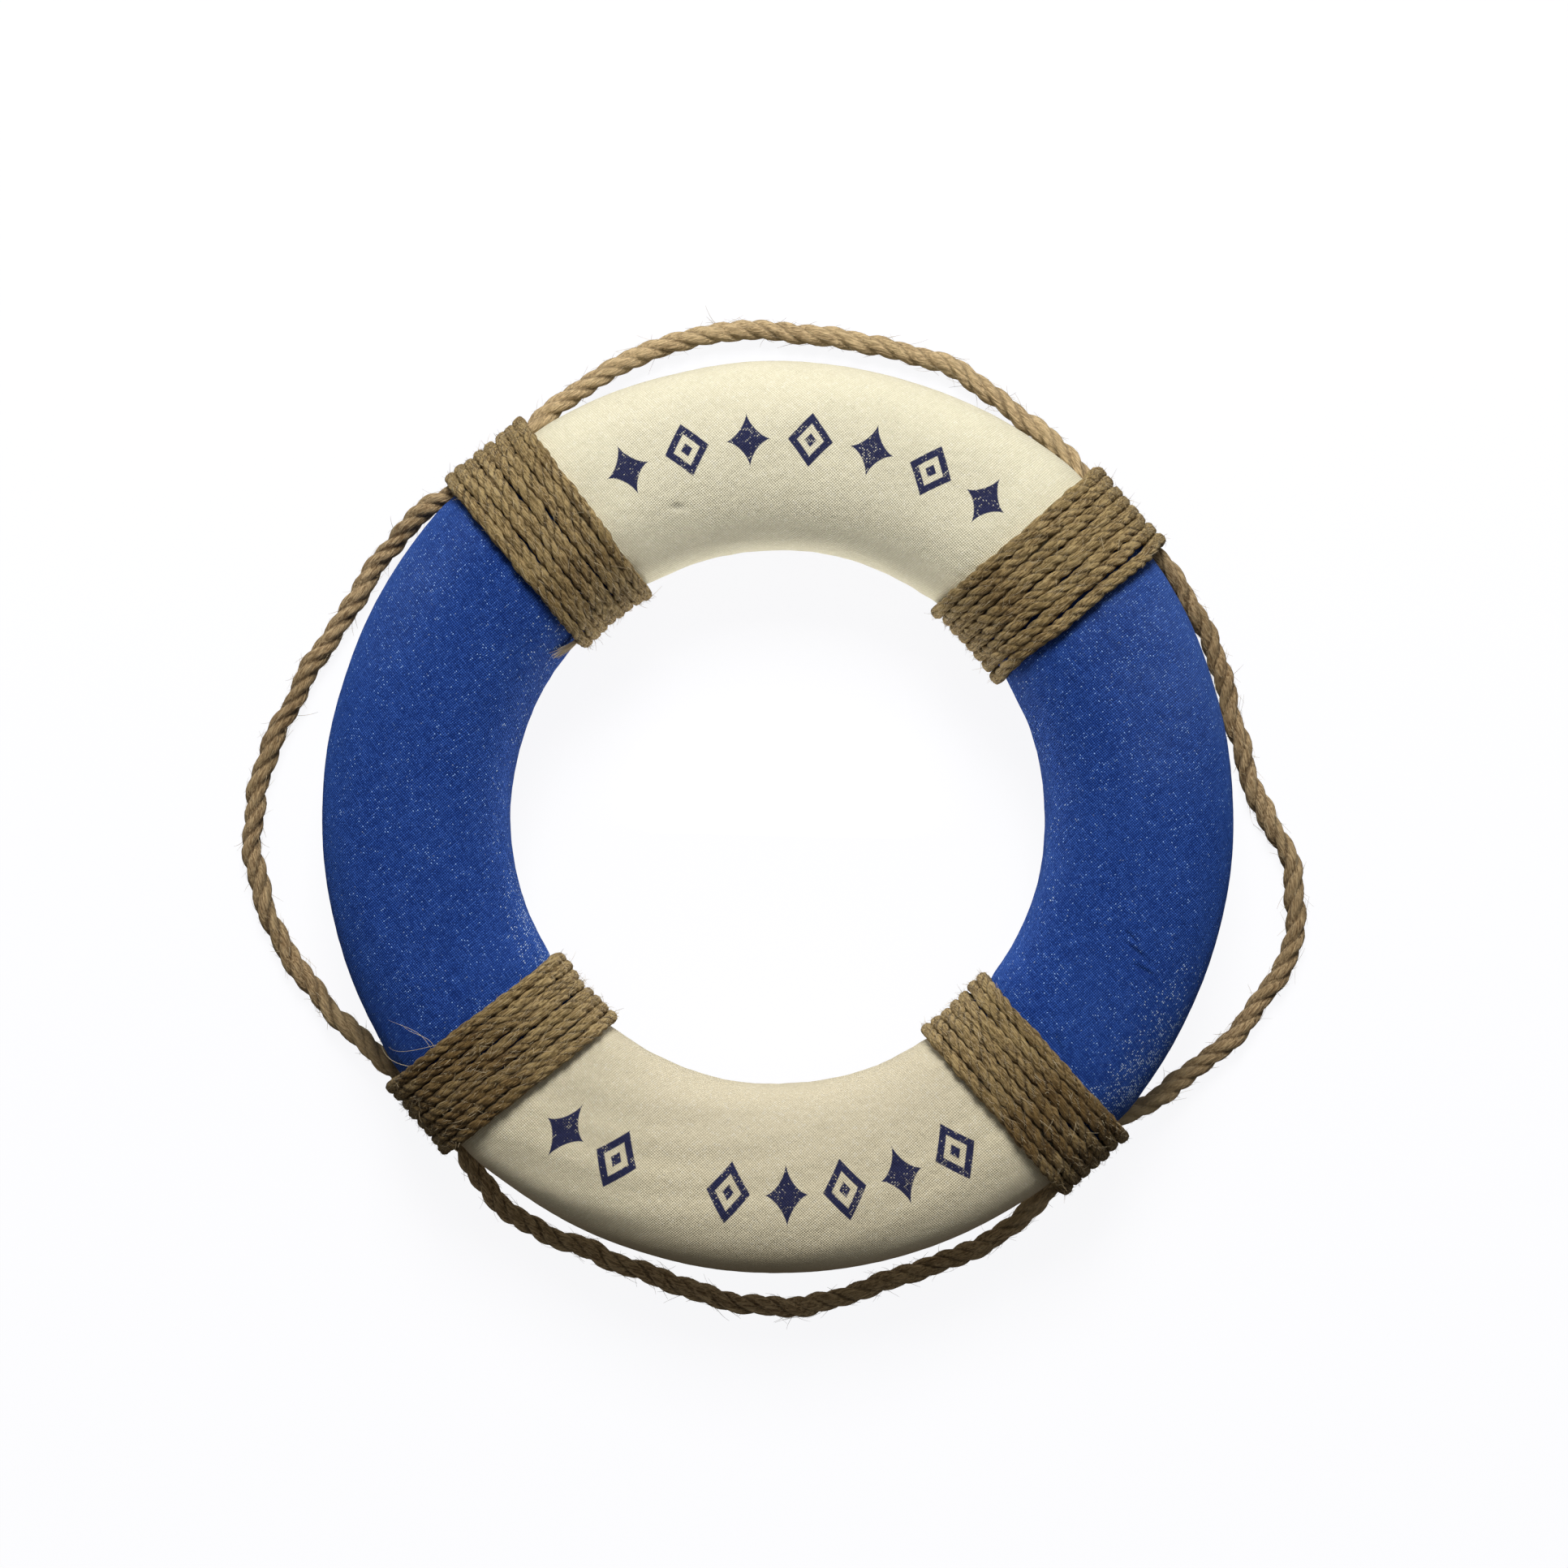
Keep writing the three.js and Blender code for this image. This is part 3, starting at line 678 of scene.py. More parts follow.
def stitch_piece(name, lines, radius, sides=8):
    """Short closed threads with rounded ends."""
    verts, quads, tris = [], [], []
    base = 0
    for pts, _ in lines:
        n = len(pts)
        tangent = normalise(np.gradient(pts, axis=0))
        side = normalise(np.cross(tangent, np.array([0.13, 0.22, 0.97])))
        up = np.cross(tangent, side)
        w = np.linspace(-1, 1, n)
        r = radius * np.sqrt(np.maximum(1 - w ** 4, 0.06))
        a = np.linspace(0, 2 * np.pi, sides, endpoint=False)
        ring = pts[:, None, :] + r[:, None, None] * (np.cos(a)[None, :, None] * side[:, None, :] + np.sin(a)[None, :, None] * up[:, None, :])
        v, q, t = tube_arrays(ring, pts)
        verts.append(v)
        quads.append(q + base)
        tris.append(t + base)
        base += len(v)
    return make_piece(name, np.concatenate(verts), np.concatenate(quads), np.concatenate(tris))


panels = {}
for name, (start, stop, tone, seed) in PANELS.items():
    panels[name] = canvas_panel(name, start, stop, tone, seed)


# ---------------------------------------------------------------- materials
class Nodes:
    """Short ways to write a node material. Every argument is a socket or a constant."""

    def __init__(self, name):
        self.material = bpy.data.materials.new(name)
        self.material.use_nodes = True
        self.tree = self.material.node_tree
        self.tree.nodes.clear()
        self.output = self.tree.nodes.new("ShaderNodeOutputMaterial")

    def put(self, socket, value):
        if value is None:
            return
        if isinstance(value, bpy.types.NodeSocket):
            self.tree.links.new(value, socket)
        else:
            socket.default_value = value

    def node(self, kind, **properties):
        node = self.tree.nodes.new(kind)
        for key, value in properties.items():
            setattr(node, key, value)
        return node

    def math(self, operation, a, b=None, c=None, clamp=False):
        node = self.node("ShaderNodeMath", operation=operation, use_clamp=clamp)
        for socket, value in zip(node.inputs, (a, b, c)):
            self.put(socket, value)
        return node.outputs[0]

    def attribute(self, name):
        return self.node("ShaderNodeAttribute", attribute_type="GEOMETRY", attribute_name=name)

    def split(self, vector):
        node = self.node("ShaderNodeSeparateXYZ")
        self.put(node.inputs[0], vector)
        return node.outputs

    def join(self, x, y, z=0.0):
        node = self.node("ShaderNodeCombineXYZ")
        for socket, value in zip(node.inputs, (x, y, z)):
            self.put(socket, value)
        return node.outputs[0]

    def noise(self, vector, scale=1.0, detail=2.0, roughness=0.5, distortion=0.0):
        node = self.node("ShaderNodeTexNoise", noise_dimensions="3D")
        self.put(node.inputs["Vector"], vector)
        node.inputs["Scale"].default_value = scale
        node.inputs["Detail"].default_value = detail
        node.inputs["Roughness"].default_value = roughness
        node.inputs["Distortion"].default_value = distortion
        return node.outputs["Fac"]

    def white(self, vector):
        node = self.node("ShaderNodeTexWhiteNoise", noise_dimensions="3D")
        self.put(node.inputs["Vector"], vector)
        return node.outputs["Value"]

    def step(self, value, low, high, out_low=0.0, out_high=1.0):
        node = self.node("ShaderNodeMapRange", interpolation_type="SMOOTHSTEP")
        for key, v in (("Value", value), ("From Min", low), ("From Max", high), ("To Min", out_low), ("To Max", out_high)):
            self.put(node.inputs[key], v)
        return node.outputs[0]

    def mix(self, factor, a, b, blend="MIX"):
        node = self.node("ShaderNodeMix", data_type="RGBA", blend_type=blend)
        self.put(node.inputs["Factor"], factor)
        self.put(node.inputs[6], a)
        self.put(node.inputs[7], b)
        return node.outputs[2]

    def scaled(self, vector, x, y, z):
        node = self.node("ShaderNodeVectorMath", operation="MULTIPLY")
        self.put(node.inputs[0], vector)
        node.inputs[1].default_value = (x, y, z)
        return node.outputs[0]

    def bump(self, height, distance, strength=1.0, normal=None):
        node = self.node("ShaderNodeBump")
        node.inputs["Strength"].default_value = strength
        node.inputs["Distance"].default_value = distance
        self.put(node.inputs["Height"], height)
        if normal is not None:
            self.put(node.inputs["Normal"], normal)
        return node.outputs[0]

    def shader(self, color, roughness, normal, sheen=0.0, sheen_roughness=0.5, specular=0.3, tint=(1.0, 1.0, 1.0)):
        node = self.node("ShaderNodeBsdfPrincipled")
        self.put(node.inputs["Base Color"], color)
        self.put(node.inputs["Roughness"], roughness)
        self.put(node.inputs["Normal"], normal)
        node.inputs["Specular IOR Level"].default_value = specular
        node.inputs["Sheen Weight"].default_value = sheen
        node.inputs["Sheen Roughness"].default_value = sheen_roughness
        node.inputs["Sheen Tint"].default_value = rgb(*tint)
        self.tree.links.new(node.outputs[0], self.output.inputs["Surface"])
        return node


def rgb(r, g, b):
    return (r, g, b, 1.0)


def woven(n, weave, section):
    """Plain weave: height, brightness of the thread on top, how rubbed that thread is here, and a chance for each crossing."""
    x, y, z = n.split(weave)
    wander = n.noise(n.join(n.math("MULTIPLY", x, 0.016), n.math("MULTIPLY", y, 0.016), z), 1.0, 2.0)
    shift = n.math("MULTIPLY", n.math("SUBTRACT", wander, 0.5), 5.0)
    fine_a = n.noise(n.join(n.math("MULTIPLY", x, 0.45), n.math("MULTIPLY", y, 0.10), n.math("ADD", z, 50.0)), 1.0, 1.0)
    fine_b = n.noise(n.join(n.math("MULTIPLY", x, 0.10), n.math("MULTIPLY", y, 0.45), n.math("ADD", z, 60.0)), 1.0, 1.0)
    a = n.math("ADD", n.math("ADD", x, shift), n.math("MULTIPLY", fine_a, 0.4))
    b = n.math("ADD", n.math("SUBTRACT", y, shift), n.math("MULTIPLY", fine_b, 0.4))
    sa = n.math("SINE", n.math("MULTIPLY", a, math.pi))
    sb = n.math("SINE", n.math("MULTIPLY", b, math.pi))
    over = n.math("MULTIPLY", sa, sb)
    ha = n.math("MULTIPLY", n.math("ABSOLUTE", sa), n.math("MULTIPLY_ADD", over, 0.5, 0.5))
    hb = n.math("MULTIPLY", n.math("ABSOLUTE", sb), n.math("MULTIPLY_ADD", over, -0.5, 0.5))
    height = n.math("MAXIMUM", ha, hb)
    on_top = n.math("GREATER_THAN", over, 0.0)
    ia = n.math("FLOOR", a)
    ib = n.math("FLOOR", b)
    ra = n.white(n.join(ia, 3.0, section[2]))
    rb = n.white(n.join(ib, 9.0, section[2]))
    va = n.noise(n.join(n.math("MULTIPLY", ra, 90.0), n.math("MULTIPLY", b, 0.21), z), 1.0, 2.0, 0.6)
    vb = n.noise(n.join(n.math("MULTIPLY", rb, 90.0), n.math("MULTIPLY", a, 0.21), z), 1.0, 2.0, 0.6)
    off_top = n.math("SUBTRACT", 1.0, on_top)
    tone = n.math("ADD", n.math("MULTIPLY", va, on_top), n.math("MULTIPLY", vb, off_top))
    wa = n.noise(n.join(n.math("MULTIPLY", ra, 90.0), n.math("MULTIPLY", b, 0.10), n.math("ADD", z, 21.0)), 1.0, 1.0, 0.5)
    wb = n.noise(n.join(n.math("MULTIPLY", rb, 90.0), n.math("MULTIPLY", a, 0.10), n.math("ADD", z, 33.0)), 1.0, 1.0, 0.5)
    row = n.math("ADD", n.math("MULTIPLY", wa, on_top), n.math("MULTIPLY", wb, off_top))
    upper = n.math("GREATER_THAN", section[1], 0.0)
    chance = n.white(n.join(ia, ib, n.math("MULTIPLY_ADD", upper, 0.37, section[2])))
    return height, tone, row, chance


def star_marks(n, mark, first, pitch, count, empty, centre, half_height, half_width):
    """A row of printed marks along the ring: four-pointed stars and hollow diamonds by turns. first is the low edge of the row, in degrees."""
    angle, v, _ = n.split(mark)
    cell = n.math("DIVIDE", n.math("SUBTRACT", angle, first), pitch)
    index = n.math("FLOOR", cell)
    x = n.math("MULTIPLY", n.math("SUBTRACT", n.math("SUBTRACT", cell, index), 0.5), math.radians(pitch) * (RING_RADIUS + centre))
    y = n.math("SUBTRACT", v, centre)
    ax = n.math("DIVIDE", n.math("ABSOLUTE", x), half_width)
    ay = n.math("DIVIDE", n.math("ABSOLUTE", y), half_height)
    soft = 0.035
    star = n.math("ADD", n.math("POWER", n.math("MAXIMUM", ax, 0.0001), 0.68), n.math("POWER", n.math("MAXIMUM", ay, 0.0001), 0.68))
    star = n.step(star, 1.0 + soft, 1.0 - soft)
    diamond = n.math("ADD", ax, ay)
    hollow = n.math("MULTIPLY", n.step(diamond, 1.0 + soft, 1.0 - soft), n.step(diamond, 0.60 - soft, 0.60 + soft))
    dot = n.step(diamond, 0.26 + soft, 0.26 - soft)
    hollow = n.math("MAXIMUM", hollow, dot)
    odd = n.math("MODULO", n.math("ADD", index, 20.0), 2.0)
    odd = n.math("GREATER_THAN", odd, 0.5)
    shape = n.math("ADD", n.math("MULTIPLY", star, n.math("SUBTRACT", 1.0, odd)), n.math("MULTIPLY", hollow, odd))
    inside = n.math("MULTIPLY", n.math("GREATER_THAN", cell, 0.0), n.math("LESS_THAN", cell, float(count)))
    shape = n.math("MULTIPLY", shape, inside)
    if empty is not None:
        gap = n.math("GREATER_THAN", n.math("ABSOLUTE", n.math("SUBTRACT", index, float(empty))), 0.5)
        shape = n.math("MULTIPLY", shape, gap)
    return shape


def dent(n, mark, angle, v, turn, length, width):
    """A short hollow in the cloth at that angle round the ring and that many mm out from the middle of the section."""
    at, mv, _ = n.split(mark)
    px = n.math("MULTIPLY", n.math("SUBTRACT", at, angle), math.radians(1.0) * (RING_RADIUS + v))
    py = n.math("SUBTRACT", mv, v)
    c, s = math.cos(math.radians(turn)), math.sin(math.radians(turn))
    du = n.math("DIVIDE", n.math("ADD", n.math("MULTIPLY", px, c), n.math("MULTIPLY", py, s)), length)
    dv = n.math("DIVIDE", n.math("SUBTRACT", n.math("MULTIPLY", py, c), n.math("MULTIPLY", px, s)), width)
    d2 = n.math("ADD", n.math("MULTIPLY", du, du), n.math("MULTIPLY", dv, dv))
    return n.math("POWER", 2.718, n.math("MULTIPLY", d2, -1.0))


def cream_material(name, marks, low, high, under):
    n = Nodes(name)
    weave = n.attribute("weave").outputs["Vector"]
    mark = n.attribute("mark").outputs["Vector"]
    section = n.split(n.attribute("section").outputs["Vector"])
    height, tone, row, chance = woven(n, weave, section)
    grime = n.noise(n.scaled(weave, 0.05, 0.05, 1.0), 1.0, 4.0, 0.6)
    base = n.mix(n.step(tone, 0.30, 0.70), low, high)
    # painted shade between the threads: the colour is darkened where the weave is low
    base = n.mix(n.math("MULTIPLY", n.step(height, 0.60, 0.15), 0.42), base, rgb(0.47, 0.39, 0.25))
    base = n.mix(n.math("MULTIPLY", n.step(grime, 0.60, 0.76), 0.07), base, rgb(0.45, 0.38, 0.27))
    base = n.mix(n.math("MULTIPLY", n.math("GREATER_THAN", chance, 0.93), 0.30), base, rgb(0.96, 0.92, 0.78))
    # seed husks and small dark fibres left in the cotton
    fleck = n.noise(n.scaled(weave, 0.9, 0.9, 1.0), 1.0, 1.0, 0.5)
    base = n.mix(n.math("MULTIPLY", n.step(fleck, 0.75, 0.81), 0.50), base, rgb(0.30, 0.22, 0.13))
    # painted shade with a warm reflected tint: the cloth is made browner where it turns under at the outside, by the
    # amount under, which is much larger on the bottom panel
    base = n.mix(n.math("MULTIPLY", n.step(section[0], 0.72, 1.0), under), base, rgb(0.52, 0.36, 0.21))
    # painted shade: on the bottom panel the inner side, which faces the key light, is darkened
    inner_painted_shade = 0.0 if under < 0.1 else 0.92
    base = n.mix(n.math("MULTIPLY", n.step(section[0], 0.25, -0.80), inner_painted_shade), base, rgb(0.80, 0.80, 0.82), blend="MULTIPLY")
    # painted shade: on the bottom panel the outer side is darkened around its lowest middle
    if under > 0.1:
        angle = n.split(mark)[0]
        low_middle = n.math("MULTIPLY", n.step(angle, 240.0, 256.0), n.step(angle, 290.0, 272.0))
        low_middle = n.math("MULTIPLY", low_middle, n.step(section[0], 0.50, 0.78))
        base = n.mix(n.math("MULTIPLY", low_middle, 0.9), base, rgb(0.72, 0.695, 0.665), blend="MULTIPLY")
    if under < 0.1:
        smudge = dent(n, mark, 111.9, -16.1, 20.0, 2.6, 1.5)
        base = n.mix(n.math("MULTIPLY", smudge, 0.30), base, rgb(0.30, 0.28, 0.24))
    # printed marks: the ink sits on the crowns and has rubbed off single crossings, more in some places than in others
    ink = star_marks(n, mark, *marks)
    thin = n.noise(n.scaled(weave, 0.115, 0.115, 1.0), 1.0, 4.0, 0.68)
    bare = n.math("ADD", n.math("MULTIPLY", thin, 1.12), n.math("MULTIPLY", chance, 0.44))
    bare = n.math("ADD", bare, n.math("MULTIPLY", n.step(row, 0.45, 0.70), 0.08))
    bare = n.math("MULTIPLY", n.step(bare, 0.90, 1.04), n.step(height, 0.42, 0.85))
    ink = n.math("MULTIPLY", ink, n.math("SUBTRACT", 1.0, n.math("MULTIPLY", bare, 0.80)))
    base = n.mix(n.math("MULTIPLY", ink, 0.97), base, n.mix(tone, rgb(0.003, 0.006, 0.046), rgb(0.010, 0.018, 0.098)))
    lump = n.noise(n.scaled(weave, 0.22, 0.22, 1.0), 1.0, 3.0, 0.55)
    total = n.math("ADD", n.math("MULTIPLY", height, 0.8), n.math("MULTIPLY", tone, 0.4))
    total = n.math("ADD", total, n.math("MULTIPLY", n.step(row, 0.60, 0.76), 0.5))
    total = n.math("ADD", total, n.math("MULTIPLY", lump, 1.5))
    if under < 0.1:
        total = n.math("SUBTRACT", total, n.math("MULTIPLY", smudge, 2.5))
    normal = n.bump(total, 0.00030, 1.0)
    n.shader(base, n.step(tone, 0.2, 0.8, 0.95, 0.82), normal, sheen=0.03, sheen_roughness=0.5, specular=0.05, tint=(1.0, 0.95, 0.80))
    return n.material


def blue_material(name):
    n = Nodes(name)
    weave = n.attribute("weave").outputs["Vector"]
    mark = n.attribute("mark").outputs["Vector"]
    section = n.split(n.attribute("section").outputs["Vector"])
    angle = n.split(mark)[0]
    height, tone, row, chance = woven(n, weave, section)
    patch = n.noise(n.scaled(weave, 0.02, 0.02, 1.0), 1.0, 3.0, 0.55)
    base = n.mix(n.step(tone, 0.34, 0.66), rgb(0.0085, 0.040, 0.228), rgb(0.0245, 0.092, 0.424))
    # painted shade between the threads: the colour is darkened where the weave is low
    base = n.mix(n.math("MULTIPLY", n.step(height, 0.65, 0.15), 0.85), base, rgb(0.002, 0.010, 0.085))
    base = n.mix(n.math("MULTIPLY", n.step(patch, 0.40, 0.72), 0.18), base, rgb(0.034, 0.100, 0.400))
    crown = n.step(height, 0.60, 0.95)
    base = n.mix(n.math("MULTIPLY", n.math("MULTIPLY", crown, n.step(tone, 0.44, 0.66)), 0.40), base, rgb(0.12, 0.24, 0.62))
    # single threads that stand out lighter or darker
    base = n.mix(n.math("MULTIPLY", n.step(row, 0.55, 0.65), 0.24), base, rgb(0.065, 0.155, 0.520))
    base = n.mix(n.math("MULTIPLY", n.step(row, 0.43, 0.34), 0.36), base, rgb(0.004, 0.020, 0.130))
    # greyer, rubbed areas: the upper end of the right panel and the outside of the left panel's upper end
    haze = n.math("MULTIPLY", n.math("MULTIPLY", n.step(angle, 362.0, 382.0), n.step(section[0], -0.45, 0.15)), 1.0)
    haze = n.math("ADD", haze, n.math("MULTIPLY", n.math("MULTIPLY", n.step(angle, 170.0, 150.0), n.step(section[0], 0.10, 0.70)), 0.8))
    haze = n.math("MULTIPLY", haze, n.step(patch, 0.30, 0.60, 0.55, 1.15))
    base = n.mix(n.math("MULTIPLY", haze, 0.055), base, rgb(0.30, 0.42, 0.75))
    # crossings where the paint has worn off the crown, mostly in rows along one thread
    cloud = n.noise(n.scaled(weave, 0.045, 0.045, 1.0), 1.0, 4.0, 0.65)
    rows = n.step(row, 0.58, 0.74)
    density = n.math("ADD", n.math("MULTIPLY", rows, 0.27), 0.036)
    density = n.math("ADD", density, n.math("MULTIPLY", n.step(cloud, 0.50, 0.72), 0.09))
    density = n.math("ADD", density, n.math("MULTIPLY", haze, 0.09))
    top = n.math("SUBTRACT", 1.0, density)
    worn = n.math("MULTIPLY", n.step(chance, top, n.math("ADD", top, 0.02)), n.step(height, 0.52, 0.80))
    strength = n.step(chance, 0.90, 1.0, 0.30, 1.0)
    base = n.mix(n.math("MULTIPLY", worn, strength), base, rgb(0.33, 0.53, 0.95))
    # rubbed to the bare cloth: the outer edge next to the bottom right lashing, and places on the inner edge
    outer_edge = n.math("MULTIPLY", n.step(section[0], 0.30, 0.72), n.math("MULTIPLY", n.step(angle, 349.0, 330.0), n.step(angle, 316.0, 321.0)))
    outer_edge = n.math("MULTIPLY", outer_edge, n.step(section[0], 0.99, 0.84, 0.15, 1.0))
    inner_edge = n.step(section[0], -0.66, -0.95)
    lower = n.math("MULTIPLY", inner_edge, n.math("MULTIPLY", n.step(angle, 190.0, 207.0), n.step(angle, 226.0, 217.0)))
    upper = n.math("MULTIPLY", n.math("MULTIPLY", n.step(section[0], -0.45, -0.80), n.step(section[0], -1.0, -0.93)), n.math("MULTIPLY", n.step(angle, 138.0, 144.0), n.step(angle, 158.0, 148.0)))
    rub = n.noise(n.scaled(weave, 0.10, 0.10, 1.0), 1.0, 4.0, 0.65)
    bare = n.math("ADD", n.math("MULTIPLY", outer_edge, 0.27), n.math("ADD", n.math("MULTIPLY", inner_edge, 0.025), n.math("ADD", n.math("MULTIPLY", lower, 0.17), n.math("MULTIPLY", upper, 0.09))))
    bare = n.math("MULTIPLY", bare, n.step(rub, 0.36, 0.66, 0.25, 1.7))
    bare = n.math("MULTIPLY", bare, n.step(row, 0.40, 0.62, 0.20, 1.9))
    other = n.white(n.join(chance, 4.0, 7.0))
    scuff = n.math("MULTIPLY", n.step(n.math("ADD", other, bare), 0.99, 1.01), n.step(height, 0.42, 0.72))
    base = n.mix(n.math("MULTIPLY", scuff, 0.95), base, rgb(0.54, 0.68, 0.88))
    # painted shade: two short creases are darkened along their length
    for where in ((343.6, 5.0, 112.0, 5.5, 1.3), (341.2, 10.8, 100.0, 4.2, 1.2)):
        base = n.mix(n.math("MULTIPLY", dent(n, mark, *where), 0.42), base, rgb(0.002, 0.013, 0.100))
    lump = n.noise(n.scaled(weave, 0.22, 0.22, 1.0), 1.0, 3.0, 0.55)
    total = n.math("ADD", n.math("MULTIPLY", height, 0.9), n.math("MULTIPLY", tone, 0.5))
    total = n.math("ADD", total, n.math("ADD", n.math("MULTIPLY", rows, 0.5), n.math("MULTIPLY", lump, 0.8)))
    for where in ((343.6, 5.0, 112.0, 5.0, 1.1), (341.4, 10.5, 100.0, 3.6, 1.0), (345.4, 1.0, 124.0, 2.4, 0.9), (325.0, -3.0, 130.0, 3.4, 1.0)):
        total = n.math("SUBTRACT", total, n.math("MULTIPLY", dent(n, mark, *where), 3.2))
    normal = n.bump(total, 0.00032, 1.0)
    n.shader(base, n.step(tone, 0.2, 0.8, 0.85, 0.66), normal, sheen=0.32, sheen_roughness=0.5, specular=0.12, tint=(0.10, 0.28, 1.0))
    return n.material


def jute_material(name, dark, mid, light, deep, pale, darkening_tint):
    n = Nodes(name)
    fib = n.attribute("fib").outputs["Vector"]
    shade = n.attribute("shade").outputs["Fac"]
    streak = n.noise(n.scaled(fib, 1.9, 1.9, 0.15), 1.0, 4.0, 0.62, 0.25)
    bundle = n.noise(n.scaled(fib, 0.80, 0.80, 0.085), 1.0, 3.0, 0.55, 0.15)
    fine = n.noise(n.scaled(fib, 4.6, 4.6, 0.45), 1.0, 3.0, 0.6, 0.2)
    broad = n.noise(n.scaled(fib, 0.10, 0.10, 0.045), 1.0, 2.0, 0.5)
    base = n.mix(n.step(streak, 0.38, 0.60), dark, light)
    base = n.mix(n.math("MULTIPLY", n.step(bundle, 0.50, 0.34), 0.62), base, dark)
    base = n.mix(n.math("MULTIPLY", n.step(bundle, 0.56, 0.68), 0.40), base, pale)
    base = n.mix(n.math("MULTIPLY", n.step(fine, 0.40, 0.66), 0.30), base, mid)
    base = n.mix(n.math("MULTIPLY", n.step(broad, 0.40, 0.66), 0.50), base, n.mix(0.5, base, rgb(light[0] * 0.70, light[1] * 0.72, light[2] * 0.66)))
    # painted shade in the grooves between strands and yarns, where the shade attribute is low
    base = n.mix(n.math("MULTIPLY", n.step(shade, 0.55, 0.05), 0.80), base, deep)
    base = n.mix(n.math("MULTIPLY", n.step(streak, 0.38, 0.27), 0.55), base, deep)
    base = n.mix(n.math("MULTIPLY", n.step(fine, 0.44, 0.30), 0.45), base, deep)
    # painted light: the pale attribute lightens the rope where it is set above
    base = n.mix(n.attribute("pale").outputs["Fac"], base, pale)
    # painted shade on the lashings: the darkening attribute darkens their shaded side; on the rope it darkens the two
    # side bights
    base = n.mix(n.attribute("darkening").outputs["Fac"], base, darkening_tint, blend="MULTIPLY")
    total = n.math("ADD", n.math("MULTIPLY", streak, 1.0), n.math("ADD", n.math("MULTIPLY", fine, 0.45), n.math("MULTIPLY", bundle, 1.1)))
    normal = n.bump(total, 0.00085, 1.0)
    n.shader(base, n.step(streak, 0.2, 0.8, 0.92, 0.74), normal, sheen=0.10, sheen_roughness=0.45, specular=0.18, tint=(1.0, 0.88, 0.64))
    return n.material


def hair_material(name, color, other, pale):
    n = Nodes(name)
    fib = n.attribute("fib").outputs["Vector"]
    tone = n.noise(fib, 1.0, 2.0)
    base = n.mix(n.step(tone, 0.3, 0.7), color, other)
    base = n.mix(n.attribute("shade").outputs["Fac"], base, pale)
    normal = n.bump(tone, 0.00005, 0.4)
    n.shader(base, n.step(tone, 0.2, 0.8, 0.7, 0.5), normal, sheen=0.1, specular=0.35)
    return n.material


def foam_material(name):
    n = Nodes(name)
    coordinates = n.node("ShaderNodeTexCoord").outputs["Object"]
    cells = n.node("ShaderNodeTexVoronoi", feature="F1")
    n.put(cells.inputs["Vector"], coordinates)
    cells.inputs["Scale"].default_value = 320.0
    grain = n.noise(coordinates, 900.0, 2.0)
    base = n.mix(n.step(cells.outputs["Distance"], 0.2, 0.7), rgb(0.86, 0.86, 0.84), rgb(0.66, 0.66, 0.63))
    normal = n.bump(n.math("ADD", n.math("MULTIPLY", cells.outputs["Distance"], -1.0), n.math("MULTIPLY", grain, 0.2)), 0.0006, 0.8)
    n.shader(base, n.step(grain, 0.2, 0.8, 0.75, 0.6), normal, specular=0.3)
    return n.material


def thread_material(name, color, other):
    n = Nodes(name)
    coordinates = n.node("ShaderNodeTexCoord").outputs["Object"]
    twist = n.noise(n.scaled(coordinates, 1400.0, 1400.0, 2600.0), 1.0, 2.0)
    base = n.mix(n.step(twist, 0.3, 0.7), color, other)
    n.shader(base, n.step(twist, 0.2, 0.8, 0.85, 0.7), n.bump(twist, 0.0001, 0.7), sheen=0.2, specular=0.25)
    return n.material


def dress(obj, material):
    obj.data.materials.clear()
    obj.data.materials.append(material)


TOP_MARKS = (89.05 - 3.5 * 9.42, 9.42, 7, None, 3.8, 10.2, 8.5)
BOTTOM_MARKS = (302.0 - 7.5 * 8.89, 8.89, 8, 2, 3.2, 11.9, 8.3)
# painted shade: the bottom panel's cream is a darker, browner copy of the top panel's cream
cream_top = cream_material("cream_canvas_top", TOP_MARKS, rgb(0.82, 0.765, 0.555), rgb(0.93, 0.875, 0.660), 0.02)
cream_bottom = cream_material("cream_canvas_bottom", BOTTOM_MARKS, rgb(0.79, 0.70, 0.483), rgb(0.91, 0.820, 0.588), 0.55)
blue = blue_material("blue_canvas")
jute_lashing = jute_material("jute_lashing_cord", rgb(0.118, 0.071, 0.026), rgb(0.305, 0.206, 0.085), rgb(0.545, 0.392, 0.176), rgb(0.024, 0.013, 0.005), rgb(0.690, 0.535, 0.280), rgb(0.47, 0.405, 0.315))
jute_rope = jute_material("jute_rope", rgb(0.245, 0.150, 0.068), rgb(0.500, 0.342, 0.178), rgb(0.780, 0.575, 0.318), rgb(0.072, 0.039, 0.017), rgb(0.940, 0.725, 0.410), rgb(0.56, 0.505, 0.44))
hair = hair_material("jute_fibres", rgb(0.24, 0.16, 0.075), rgb(0.50, 0.38, 0.21), rgb(0.80, 0.66, 0.42))
dress(panels["canvas_cream_top"][0], cream_top)
dress(panels["canvas_cream_bottom"][0], cream_bottom)
for name in ("canvas_blue_left", "canvas_blue_right"):
    dress(panels[name][0], blue)
    dress(panels[name][1], thread_material(name + "_thread", rgb(0.02, 0.05, 0.22), rgb(0.06, 0.12, 0.38)))
for name in ("canvas_cream_top", "canvas_cream_bottom"):
    dress(panels[name][1], thread_material(name + "_thread", rgb(0.62, 0.56, 0.42), rgb(0.85, 0.80, 0.66)))
for data in lashings.values():
    dress(data["obj"], jute_lashing)
dress(grab_rope, jute_rope)
dress(rope_hair, hair)
for obj in hair_pieces:
    dress(obj, hair)
